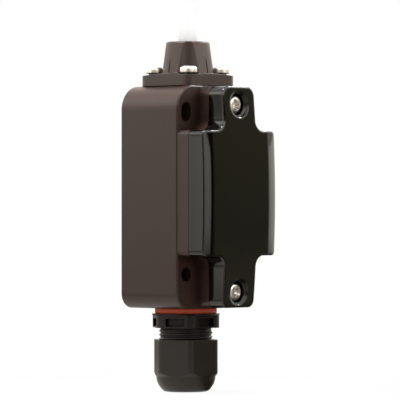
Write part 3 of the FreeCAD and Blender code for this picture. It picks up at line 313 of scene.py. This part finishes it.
def finish_mesh(name, mesh, slot, body, smooth_angle=35.0):
    """Object from a bmesh in millimetres that rides on a body."""
    bmesh.ops.remove_doubles(mesh, verts=mesh.verts, dist=MERGE_DISTANCE)
    bmesh.ops.recalc_face_normals(mesh, faces=mesh.faces)
    data = bpy.data.meshes.new(name)
    mesh.transform(Matrix.Scale(MM, 4))
    mesh.to_mesh(data)
    mesh.free()
    for face in data.polygons:
        face.use_smooth = True
    data.set_sharp_from_angle(angle=math.radians(smooth_angle))
    made = bpy.data.objects.new(name, data)
    bpy.context.scene.collection.objects.link(made)
    data.materials.append(looks[slot])
    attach(made, body)
    return made


def circle(mesh, radius, height, segments):
    """Vertices of a circle about Z."""
    angles = [2 * math.pi * step / segments for step in range(segments)]
    return [mesh.verts.new((radius * math.cos(angle), radius * math.sin(angle), height)) for angle in angles]


def skin(mesh, rings):
    """Faces between each two neighbouring rings of vertices."""
    for first, second in zip(rings, rings[1:]):
        for step in range(len(first)):
            after = (step + 1) % len(first)
            mesh.faces.new((first[step], second[step], second[after], first[after]))


def tube(mesh, rings):
    """Faces along rings of vertices, with both ends closed."""
    for before, after in zip(rings, rings[1:]):
        for corner in range(len(before)):
            beyond = (corner + 1) % len(before)
            mesh.faces.new((before[corner], before[beyond], after[beyond], after[corner]))
    mesh.faces.new(list(reversed(rings[0])))
    mesh.faces.new(rings[-1])


def turned(profile, segments=64):
    """Solid of revolution about Z from (radius, height) points; both ends lie on the axis."""
    mesh = bmesh.new()
    rings = []
    for radius, height in profile:
        if radius == 0:
            rings.append([mesh.verts.new((0, 0, height))])
        else:
            rings.append(circle(mesh, radius, height, segments))
    for below, above in zip(rings, rings[1:]):
        for step in range(segments):
            after = (step + 1) % segments
            if len(below) == 1:
                mesh.faces.new((below[0], above[after], above[step]))
            elif len(above) == 1:
                mesh.faces.new((below[step], below[after], above[0]))
            else:
                mesh.faces.new((below[step], below[after], above[after], above[step]))
    return mesh


# Core of a screw's thread against its shank, tip's chamfer, plain shank under the head, and the thread's gaps
# to tip and seat
THREAD_CORE = 0.86
TIP_CHAMFER = 0.5
PLAIN_SHANK = 0.4
THREAD_GAPS = (0.6, 1.2)
# Chamfer under a head's edge, inwards and up, and the part of its upper half that the rounded shoulder climbs
HEAD_CHAMFER = (0.25, 0.3)
HEAD_RISE = 0.86
SHOULDER_STEPS = 8
CROWN_STEPS = 5


def pan_head(head_radius, head_height, length, shank_radius):
    """Profile of a pan head screw with its seat at height 0, from the shank's tip to the head's top."""
    core = shank_radius * THREAD_CORE
    side = head_height * 0.5
    shoulder = head_height - side
    inwards, upwards = HEAD_CHAMFER
    profile = [(0, -length), (core - TIP_CHAMFER, -length), (core, -length + TIP_CHAMFER)]
    profile += [(core, -PLAIN_SHANK), (shank_radius, -PLAIN_SHANK), (shank_radius, 0)]
    profile += [(head_radius - inwards, 0), (head_radius, upwards), (head_radius, side)]
    for step in range(1, SHOULDER_STEPS + 1):
        turn = math.radians(90 * step / SHOULDER_STEPS)
        across = head_radius - shoulder * 0.95 * (1 - math.cos(turn))
        profile.append((across, side + shoulder * HEAD_RISE * math.sin(turn)))
    flat = profile[-1][0]
    for step in range(1, CROWN_STEPS):
        share = step / CROWN_STEPS
        crown = (1 - HEAD_RISE) * (1 - (1 - share) ** 2)
        profile.append((flat * (1 - share), side + shoulder * (HEAD_RISE + crown)))
    profile.append((0, head_height))
    return profile


def cross_tool(span, width, depth, top):
    """Tapered cross-shaped tool that leaves a driver recess, pointing down from the head's top."""
    mesh = bmesh.new()
    rings = []
    # Height of each layer and its size against the full cross
    for level, share in [(top + 0.6, 1.06), (top, 1.0), (top - depth * 0.7, 0.62), (top - depth, 0.3)]:
        reach, half = span / 2 * share, width / 2 * (0.55 + 0.45 * share)
        inner = half * 1.35
        ring = []
        for quarter in range(4):
            turn = Matrix.Rotation(math.pi / 2 * quarter, 3, "Z")
            for point in ((reach, -half, 0), (reach, half, 0), (inner, inner, 0)):
                spot = turn @ Vector(point)
                ring.append(mesh.verts.new((spot.x, spot.y, level)))
        rings.append(ring)
    skin(mesh, rings)
    mesh.faces.new(rings[0])
    mesh.faces.new(list(reversed(rings[-1])))
    bmesh.ops.recalc_face_normals(mesh, faces=mesh.faces)
    return mesh


# How deep the foot of a thread's ridge lies in its core
RIDGE_FOOT = 0.15


def helix(core, crest, pitch, start, end, steps, root=0.78, tip=0.2):
    """Ridge wound round Z between two heights, fading in and out; root and tip are its widths against the pitch."""
    mesh = bmesh.new()
    turns = (end - start) / pitch
    count = int(turns * steps)
    rings = []
    for step in range(count + 1):
        turned_by = step / steps
        angle = 2 * math.pi * turned_by
        level = start + pitch * turned_by
        fade = min(1.0, turned_by * 4, (turns - turned_by) * 4)
        outer = core + (crest - core) * max(fade, 0.02)
        half_root, half_tip = pitch * root / 2 * max(fade, 0.1), pitch * tip / 2 * max(fade, 0.1)
        section = [(core - RIDGE_FOOT, -half_root), (core, -half_root), (outer, -half_tip), (outer, half_tip)]
        section += [(core, half_root), (core - RIDGE_FOOT, half_root)]
        ring = []
        for radius, height in section:
            ring.append(mesh.verts.new((radius * math.cos(angle), radius * math.sin(angle), level + height)))
        rings.append(ring)
    tube(mesh, rings)
    return mesh


def as_object(mesh):
    """Temporary object from a bmesh."""
    data = bpy.data.meshes.new("draft")
    mesh.to_mesh(data)
    mesh.free()
    made = bpy.data.objects.new("draft", data)
    bpy.context.scene.collection.objects.link(made)
    return made


def drop(thing):
    """Delete a temporary object and its mesh."""
    data = thing.data
    bpy.data.objects.remove(thing)
    bpy.data.meshes.remove(data)


def cut(mesh, tool):
    """The mesh with the tool's shape removed."""
    whole_object, tool_object = as_object(mesh), as_object(tool)
    modifier = whole_object.modifiers.new("recess", "BOOLEAN")
    modifier.operation = "DIFFERENCE"
    modifier.object = tool_object
    modifier.solver = "EXACT"
    bpy.context.view_layer.update()
    evaluated = whole_object.evaluated_get(bpy.context.evaluated_depsgraph_get())
    result = bmesh.new()
    result.from_mesh(evaluated.to_mesh())
    evaluated.to_mesh_clear()
    drop(whole_object)
    drop(tool_object)
    return result


def join(meshes):
    """One bmesh from several."""
    whole = bmesh.new()
    for mesh in meshes:
        data = bpy.data.meshes.new("draft")
        mesh.to_mesh(data)
        mesh.free()
        whole.from_mesh(data)
        bpy.data.meshes.remove(data)
    return whole


def screw(radius, height, length, shank, pitch, recess, place, facing, turn):
    """Cross-recess pan head screw, seated at a place and turned about its own axis."""
    head = cut(turned(pan_head(radius, height, length, shank)), cross_tool(*recess, height))
    tip_gap, seat_gap = THREAD_GAPS
    thread = helix(shank * THREAD_CORE, shank, pitch, -length + tip_gap, -seat_gap, steps=24)
    whole = join([head, thread])
    upright = Vector((0, 0, 1)).rotation_difference(Vector(facing)).to_matrix().to_4x4()
    whole.transform(Matrix.Translation(place) @ upright @ Matrix.Rotation(math.radians(turn), 4, "Z"))
    return whole


# Screws of cover and head: head radius, head height, length, shank radius and pitch; recess span, width and depth
COVER_SCREW = (3.25, 2.7, 9.0, 2.0, 0.7, (4.4, 1.3, 1.6))
HEAD_SCREW = (3.25, 2.7, 11.5, 2.0, 0.7, (4.4, 1.3, 1.7))
COVER_SEAT_Y = -37.4
HEAD_SEAT_Z = 44.75

cover_set = []
for height, turn in ((32.8, 20.0), (-36.5, 62.0)):
    cover_set.append(screw(*COVER_SCREW, (0, COVER_SEAT_Y, height), (0, -1, 0), turn))
cover_screws = finish_mesh("cover_screw_pair", join(cover_set), "zinc_steel", "root", 30)
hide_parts("cover_screws")

head_set = []
for across, along, turn in ((-8.9, -24.0, 12.0), (8.9, -24.0, 50.0), (-8.9, -6.2, 71.0), (8.9, -6.2, 33.0)):
    head_set.append(screw(*HEAD_SCREW, (across, along, HEAD_SEAT_Z), (0, 0, 1), turn))
head_screws = finish_mesh("head_screw_set", join(head_set), "zinc_steel", "root", 30)
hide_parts("head_screws")

# Thread of the gland's stem: core radius, crest radius, pitch, lower and upper end
STEM_THREAD = (9.5, 10.0, 1.5, -61.0, -50.9)
gland_thread = helix(*STEM_THREAD, steps=96)
gland_thread.transform(Matrix.Translation((0, GLAND_Y, 0)))
finish_mesh("gland_thread", gland_thread, "gland_plastic", "root", 40)


def hexagon_reach(angle, flat, rounding):
    """Distance from the axis to a hexagon with rounded corners; angle in degrees from a flat's middle."""
    off = math.radians(abs((angle + 30.0) % 60.0 - 30.0))
    half = math.radians(30)
    if flat * math.tan(off) <= (flat - rounding) * math.tan(half):
        return flat / math.cos(off)
    corner = (flat - rounding) / math.cos(half)
    aside = corner * math.sin(half - off)
    return corner * math.cos(half - off) + math.sqrt(max(rounding ** 2 - aside ** 2, 0.0))


def radius_at(profile, height):
    """Radius of a profile of (radius, height) points, top first, at a height."""
    for (first, upper), (second, lower) in zip(profile, profile[1:]):
        if lower <= height <= upper:
            return first + (second - first) * (upper - height) / (upper - lower)
    return profile[0][0]


def dome_nut(cap, inside, flat, rounding, turn, heights, segments=288):
    """Hexagon nut whose lower end is trimmed by a cap profile; inside runs from the lower end up."""
    mesh = bmesh.new()
    rings = []
    for height in heights:
        ring = []
        for step in range(segments):
            angle = 360 * step / segments
            radius = min(hexagon_reach(angle - turn, flat, rounding), radius_at(cap, height))
            spot = (radius * math.cos(math.radians(angle)), radius * math.sin(math.radians(angle)), height)
            ring.append(mesh.verts.new(spot))
        rings.append(ring)
    rings += [circle(mesh, radius, height, segments) for radius, height in inside]
    skin(mesh, rings + rings[:1])
    mesh.transform(Matrix.Translation((0, GLAND_Y, 0)))
    return mesh


# The nut: its upper end, half its width across flats, the corners' radius, its turn in degrees, the layers of
# its mesh, and its lower trim and bore as points of radius and height
NUT_TOP = -54.7
NUT_FLAT = 11.2
NUT_ROUNDING = 2.3
NUT_TURN = 22.7
NUT_LAYERS = 80
NUT_LAYER = 0.1
NUT_CAP = [
    (13.0, -66.2), (12.6, -66.8), (12.0, -67.5), (11.25, -68.25), (11.08, -68.6), (11.04, -69.0), (10.95, -69.7),
    (10.72, -70.5), (10.46, -71.2), (10.06, -72.0), (9.54, -72.7), (8.95, -73.4), (8.5, -73.8), (7.9, -74.1),
    (7.3, -74.2),
]
NUT_INSIDE = [(6.7, -74.2), (6.5, -74.0), (6.5, -71.0), (7.8, -71.0), (7.8, -66.0), (10.05, -66.0), (10.05, NUT_TOP)]
nut_heights = [NUT_TOP, NUT_TOP - 0.3] + [NUT_CAP[0][1] - NUT_LAYER * step for step in range(NUT_LAYERS + 1)]
nut = dome_nut(NUT_CAP, NUT_INSIDE, NUT_FLAT, NUT_ROUNDING, NUT_TURN, nut_heights)
nut_piece = finish_mesh("gland_cap_nut", nut, "gland_plastic", "gland_nut", 30)
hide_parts("gland_dome_nut")

# Closed turns at each end of a spring, and the share of its height that is climbed evenly over all turns
CLOSED_TURNS = 0.7
CLOSED_RISE = 0.06


def coil(coil_radius, wire, turns, low, high, around=24, sides=10):
    """Compression spring with closed ends whose outside reaches from one height to the other."""
    mesh = bmesh.new()
    start, end = low + wire, high - wire
    count = int(turns * around)
    rings = []
    for step in range(count + 1):
        share = step / count
        eased = min(max((share * turns - CLOSED_TURNS) / (turns - 2 * CLOSED_TURNS), 0.0), 1.0)
        level = start + (end - start) * (CLOSED_RISE * share + (1 - CLOSED_RISE) * eased)
        angle = 2 * math.pi * step / around
        ring = []
        for side in range(sides):
            slant = 2 * math.pi * side / sides
            reach = coil_radius + wire * math.cos(slant)
            spot = (reach * math.cos(angle), reach * math.sin(angle), level + wire * math.sin(slant))
            ring.append(mesh.verts.new(spot))
        rings.append(ring)
    tube(mesh, rings)
    mesh.transform(Matrix.Translation((0, PLUNGER_Y, 0)))
    return mesh


def sleeve(profile, segments=72):
    """Ring from a closed loop of (radius, height) points, on the gland's axis."""
    mesh = bmesh.new()
    rings = [circle(mesh, radius, height, segments) for radius, height in profile]
    skin(mesh, rings + rings[:1])
    mesh.transform(Matrix.Translation((0, GLAND_Y, 0)))
    return mesh


# Each spring: node, coil radius, wire radius, turns, body, joint that presses it, fixed end, stroke
SPRINGS = [
    ("plunger_spring", 4.75, 0.4, 6.5, "root", "plunger_press", 35.0, 5.5),
    ("tappet_spring", 2.3, 0.25, 7.5, "root", "tappet_slide", -16.0, 5.5),
    ("make_contact_spring", 1.4, 0.2, 6.0, "tappet", "make_bridge_lift", 3.2, 2.5),
    ("break_contact_spring", 1.4, 0.2, 5.5, "tappet", None, 0.0, 0.0),
]
for node, coil_radius, wire, turns, body, joint, fixed_end, stroke in SPRINGS:
    bottom, top = [corner[2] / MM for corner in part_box(node)]
    piece = finish_mesh(f"{node}_coil", coil(coil_radius, wire, turns, bottom, top), "spring_steel", body, 60)
    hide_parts(node)
    if joint:
        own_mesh(piece)

# The rubber sleeve, ribbed inside, which the nut's advance presses from below
RUBBER_TOP = -50.2
RUBBER_END = -62.0
RIB_RADIUS = 5.0
RIB_DEPTH = 0.35
RIB_PITCH = 0.75
RIB_POINTS = 14
ribs = [(RIB_RADIUS + RIB_DEPTH * (step % 2), RUBBER_END + 0.8 + RIB_PITCH * step) for step in range(RIB_POINTS)]
loop = [(7.6, RUBBER_TOP), (7.6, RUBBER_END + 0.5), (7.3, RUBBER_END), (5.4, RUBBER_END), *ribs, (5.3, RUBBER_TOP)]
rubber_piece = finish_mesh("gland_rubber_sleeve", sleeve(loop), "seal_rubber", "root", 50)
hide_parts("gland_rubber_seal")
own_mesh(rubber_piece)


# Floor, reflection tent, light and camera


def staged(name, mesh, look):
    """Stage object from a bmesh in millimetres."""
    data = bpy.data.meshes.new(name)
    mesh.transform(Matrix.Scale(MM, 4))
    mesh.to_mesh(data)
    mesh.free()
    made = bpy.data.objects.new(name, data)
    bpy.context.scene.collection.objects.link(made)
    data.materials.append(look)
    return made


def background_ray(tree):
    """1 for camera, mirror and glass rays."""
    path = tree.nodes.new("ShaderNodeLightPath")
    seen = compute(tree, "MAXIMUM", path.outputs["Is Camera Ray"], path.outputs["Is Glossy Ray"])
    return compute(tree, "MAXIMUM", seen, path.outputs["Is Transmission Ray"])


def mix_shader(tree, factor, first, second):
    """Shader between two shaders."""
    node = add(tree, "ShaderNodeMixShader", Fac=factor)
    tree.links.new(first, node.inputs[1])
    tree.links.new(second, node.inputs[2])
    return node.outputs["Shader"]


def grey(level):
    """Grey colour."""
    return (level, level, level, 1.0)


# The floor: level and half its width in millimetres, brightness of its paper, and how white it is at the object
FLOOR_LEVEL = -74.3
FLOOR_SIZE = 4000.0
FLOOR_GREY = 0.88
FLOOR_LIFT = 0.9
# Distances in metres over which the paper turns white
FLOOR_FADE = (0.05, 0.3)


def paper_floor():
    """Pale paper that turns plain white away from the object."""
    made, tree, place = empty_material("floor_paper")
    paper = mix_colour(tree, noise(tree, place, 6.0), grey(FLOOR_GREY), grey(FLOOR_GREY + 0.02))
    shader = add(tree, "ShaderNodeBsdfDiffuse", Color=paper)
    glow = add(tree, "ShaderNodeEmission", Strength=1.0)
    away = add(tree, "ShaderNodeVectorMath", {"operation": "LENGTH"}, Vector=place).outputs["Value"]
    white = compute(tree, "MULTIPLY", background_ray(tree), spread(tree, away, FLOOR_LIFT, 1.0, *FLOOR_FADE))
    show(tree, mix_shader(tree, white, shader.outputs["BSDF"], glow.outputs["Emission"]))
    return made


# The tent is a drum round the gland's axis, seen only in glossy surfaces: sizes in millimetres
TENT_RADIUS = 400.0
TENT_LEVELS = (-73.9, 325.0)
TENT_HOLE = 8.6
# Colour of its paper, colour of what is no brighter than the flag level, and brightness that the ramps call 1
TENT_COLOUR = (1.0, 0.965, 0.88)
FLAG_COLOUR = (1.0, 0.93, 0.64)
FLAG_LEVEL = 0.25
TENT_TOP = 3.5
# Brightness by direction in degrees from +X: near the object, on the bottom, on the wall and on the upper wall
TENT_NEAR = ((0.0, 0.5), (90.0, 1.2), (179.0, 1.2), (181.0, 1.2), (250.0, 1.0), (285.0, 0.1), (310.0, 0.1))
TENT_LOW = (
    (0.0, 0.3), (40.0, 0.12), (90.0, 0.12), (160.0, 0.3), (172.0, 0.52), (179.0, 0.6), (181.0, 0.6),
    (255.0, 0.6), (275.0, 0.4), (290.0, 0.02), (306.0, 0.02), (309.0, 0.25), (324.0, 0.25), (328.0, 0.1),
    (345.0, 0.12),
)
TENT_MIDDLE = (
    (0.0, 1.6), (60.0, 1.22), (138.0, 1.22), (141.0, 0.85), (148.0, 0.85), (151.0, 1.22), (179.0, 1.22),
    (181.0, 1.22), (184.0, 1.22), (190.0, 0.03), (253.0, 0.03), (260.0, 1.1), (292.5, 1.1), (295.5, 0.0),
    (302.0, 0.0), (304.5, 0.15), (321.5, 0.19), (324.5, 1.8),
)
TENT_HIGH = (
    (0.0, 1.4), (60.0, 1.5), (179.0, 1.5), (181.0, 1.5), (205.0, 1.5), (215.0, 0.7), (235.0, 0.7),
    (260.0, 2.4), (300.0, 2.4), (330.0, 1.4),
)
# Where one ramp turns into the next: distances from the axis, and heights, in metres
NEAR_REACH = (0.06, 0.25)
LOW_RISE = (-0.0738, -0.035)
HIGH_RISE = (0.12, 0.17)
# Brightness at the foot and at the top, and the heights where they are reached
TENT_FADE = (0.75, 1.5, -0.07, 0.2)
# The front panel's cut corner: directions in degrees, and heights in metres
PANEL_START = 256.0
PANEL_END = 293.5
PANEL_BEYOND = (300.0, 302.0)
PANEL_CORNER = (0.036, 0.08)
PANEL_ABOVE = (0.09, 0.11)


def turn_share(degrees):
    """Place of a direction on a ramp; ramps begin and end at -X."""
    return ((degrees + 180) % 360) / 360


def band(tree, around, stops):
    """Brightness by direction; stops are (degrees from +X, level)."""
    ramp = add(tree, "ShaderNodeValToRGB", Fac=around)
    marks = ramp.color_ramp.elements
    marks.remove(marks[0])
    for index, (degrees, level) in enumerate(stops):
        share = turn_share(degrees)
        mark = marks[0] if index == 0 else marks.new(share)
        mark.position = share
        tint = TENT_COLOUR if level > FLAG_LEVEL else FLAG_COLOUR
        mark.color = (*[level * part / TENT_TOP for part in tint], 1.0)
    return ramp.outputs["Color"]


def corner_mask(tree, around, height):
    """0 in the cut-off upper corner of the panel that ends at PANEL_END degrees, 1 elsewhere."""
    rise = spread(tree, height, 0.0, 1.0, *PANEL_CORNER)
    closed = compute(tree, "MULTIPLY", rise, rise)
    end = spread(tree, closed, turn_share(PANEL_END), turn_share(PANEL_START), 0.0, 1.0)
    inside = spread(tree, compute(tree, "SUBTRACT", end, around), 0.0, 1.0, 0.0, 0.005)
    beyond = spread(tree, around, 0.0, 1.0, *[turn_share(degrees) for degrees in PANEL_BEYOND])
    above = spread(tree, height, 0.0, 1.0, *PANEL_ABOVE)
    return compute(tree, "MAXIMUM", compute(tree, "MAXIMUM", inside, beyond), above)


def tent_paper():
    """Glow of the tent by direction in three bands of height, with dark flags."""
    made, tree, place = empty_material("tent_paper")
    parts = add(tree, "ShaderNodeSeparateXYZ", Vector=place)
    height = parts.outputs["Z"]
    turn = compute(tree, "ARCTAN2", parts.outputs["Y"], parts.outputs["X"])
    around = spread(tree, turn, 0.0, 1.0, -math.pi, math.pi)
    low, middle, high = [band(tree, around, stops) for stops in (TENT_LOW, TENT_MIDDLE, TENT_HIGH)]
    middle = mix_colour(tree, corner_mask(tree, around, height), grey(0.0), middle)
    wall = mix_colour(tree, spread(tree, height, 0.0, 1.0, *HIGH_RISE), middle, high)
    whole = mix_colour(tree, spread(tree, height, 0.0, 1.0, *LOW_RISE), low, wall)
    flat = add(tree, "ShaderNodeVectorMath", {"operation": "MULTIPLY"})
    put(tree, flat.inputs[0], place)
    put(tree, flat.inputs[1], (1.0, 1.0, 0.0))
    away = add(tree, "ShaderNodeVectorMath", {"operation": "LENGTH"}, Vector=flat.outputs["Vector"])
    nearness = spread(tree, away.outputs["Value"], 1.0, 0.0, *NEAR_REACH)
    whole = mix_colour(tree, nearness, whole, band(tree, around, TENT_NEAR))
    strength = compute(tree, "MULTIPLY", spread(tree, height, *TENT_FADE), TENT_TOP)
    show(tree, add(tree, "ShaderNodeEmission", Color=whole, Strength=strength).outputs["Emission"])
    return made


def bucket(radius, low, high, hole, sides=96):
    """Open drum with a holed bottom round the Z axis."""
    mesh = bmesh.new()
    spots = ((hole, low), (radius, low), (radius, 0.5 * (low + high)), (radius, high))
    skin(mesh, [circle(mesh, reach, level, sides) for reach, level in spots])
    return mesh


def reflected_only(thing):
    """Hide a stage object from all but glossy rays."""
    thing.visible_camera = False
    thing.visible_diffuse = False
    thing.visible_transmission = False
    thing.visible_shadow = False


CARD_DISTANCE = 385.0
CARD_COLOUR = (1.0, 0.93, 0.85, 1.0)


def card(name, angle, width, low, high, level):
    """Upright card in front of the tent's wall, seen only in glossy surfaces; sizes in millimetres."""
    made, tree, place = empty_material(name)
    uneven = spread(tree, noise(tree, place, 60.0), level * 0.96, level * 1.04)
    show(tree, add(tree, "ShaderNodeEmission", Color=CARD_COLOUR, Strength=uneven).outputs["Emission"])
    turn = math.radians(angle)
    across = Vector((-math.sin(turn), math.cos(turn), 0.0)) * width
    middle = Vector((math.cos(turn), math.sin(turn), 0.0)) * CARD_DISTANCE + Vector((0, GLAND_Y, 0))
    corners = [(-0.5, low), (0.5, low), (0.5, high), (-0.5, high)]
    mesh = bmesh.new()
    mesh.faces.new([mesh.verts.new(middle + across * side + Vector((0, 0, height))) for side, height in corners])
    reflected_only(staged(name, mesh, made))


sheet = bmesh.new()
bmesh.ops.create_grid(sheet, x_segments=8, y_segments=8, size=FLOOR_SIZE)
floor = staged("floor", sheet, paper_floor())
floor.location = (0, 0, FLOOR_LEVEL * MM)

tent = staged("tent", bucket(TENT_RADIUS, *TENT_LEVELS, TENT_HOLE), tent_paper())
tent.location = (0, GLAND_Y * MM, 0)
reflected_only(tent)

# Cards: direction in degrees, width, lower and upper edge, brightness
card("card_left", 144.5, 88.0, 36.0, 124.0, 0.41)
card("card_right", 338.0, 190.0, 42.0, 130.0, 0.8)

world = bpy.data.worlds.new("studio")
bpy.context.scene.world = world
world.use_nodes = True
sky = world.node_tree
sky.nodes.clear()
# A little more light falls on the object than the plain white that is seen behind it
lighting = add(sky, "ShaderNodeBackground", Color=grey(1.0), Strength=1.05)
backdrop = add(sky, "ShaderNodeBackground", Color=grey(1.0), Strength=1.0)
seen_sky = mix_shader(sky, background_ray(sky), lighting.outputs["Background"], backdrop.outputs["Background"])
show(sky, seen_sky, "ShaderNodeOutputWorld")


def soft_lamp(name, way, distance, size, power, mirrored=False, spread_angle=180.0):
    """Square soft light that looks at the origin; a mirrored one is seen in glossy surfaces only."""
    data = bpy.data.lights.new(name, "AREA")
    data.shape = "SQUARE"
    data.size = size
    data.energy = power
    data.spread = math.radians(spread_angle)
    made = bpy.data.objects.new(name, data)
    bpy.context.scene.collection.objects.link(made)
    away = Vector(way).normalized()
    made.location = away * distance
    made.rotation_mode = "QUATERNION"
    made.rotation_quaternion = away.to_track_quat("Z", "Y")
    made.visible_glossy = mirrored
    made.visible_diffuse = not mirrored


# Lamps: direction from the object, distance and size in metres, power in watts
soft_lamp("lamp_left", (-1.0, 0.3, 0.3), 1.2, 0.9, 1.0)
soft_lamp("lamp_front", (-0.2, -1.0, 0.3), 1.2, 0.9, 1.6)
soft_lamp("lamp_top", (0.0, 0.02, 1.0), 0.6, 0.04, 0.08, spread_angle=14.0)
soft_lamp("lamp_high", (-0.25, 0.05, 0.95), 0.3, 0.08, 0.62, True)
soft_lamp("lamp_right", (0.7, -0.1, 0.75), 0.6, 0.12, 1.6, True)

# The camera looks level, from 46.5 degrees beside the front
BACK = Vector((-0.7254, -0.6884, 0.0))
AIM = Vector((3.146, -18.415, -2.5)) * MM
CAMERA_DISTANCE = 1.398
camera_data = bpy.data.cameras.new("camera")
camera_data.sensor_width = 36.0
camera_data.lens = 336.0
camera = bpy.data.objects.new("camera", camera_data)
bpy.context.scene.collection.objects.link(camera)
camera.location = AIM + BACK * CAMERA_DISTANCE
camera.rotation_mode = "QUATERNION"
camera.rotation_quaternion = BACK.to_track_quat("Z", "Y")
bpy.context.scene.camera = camera

bpy.context.scene.view_settings.view_transform = "Standard"
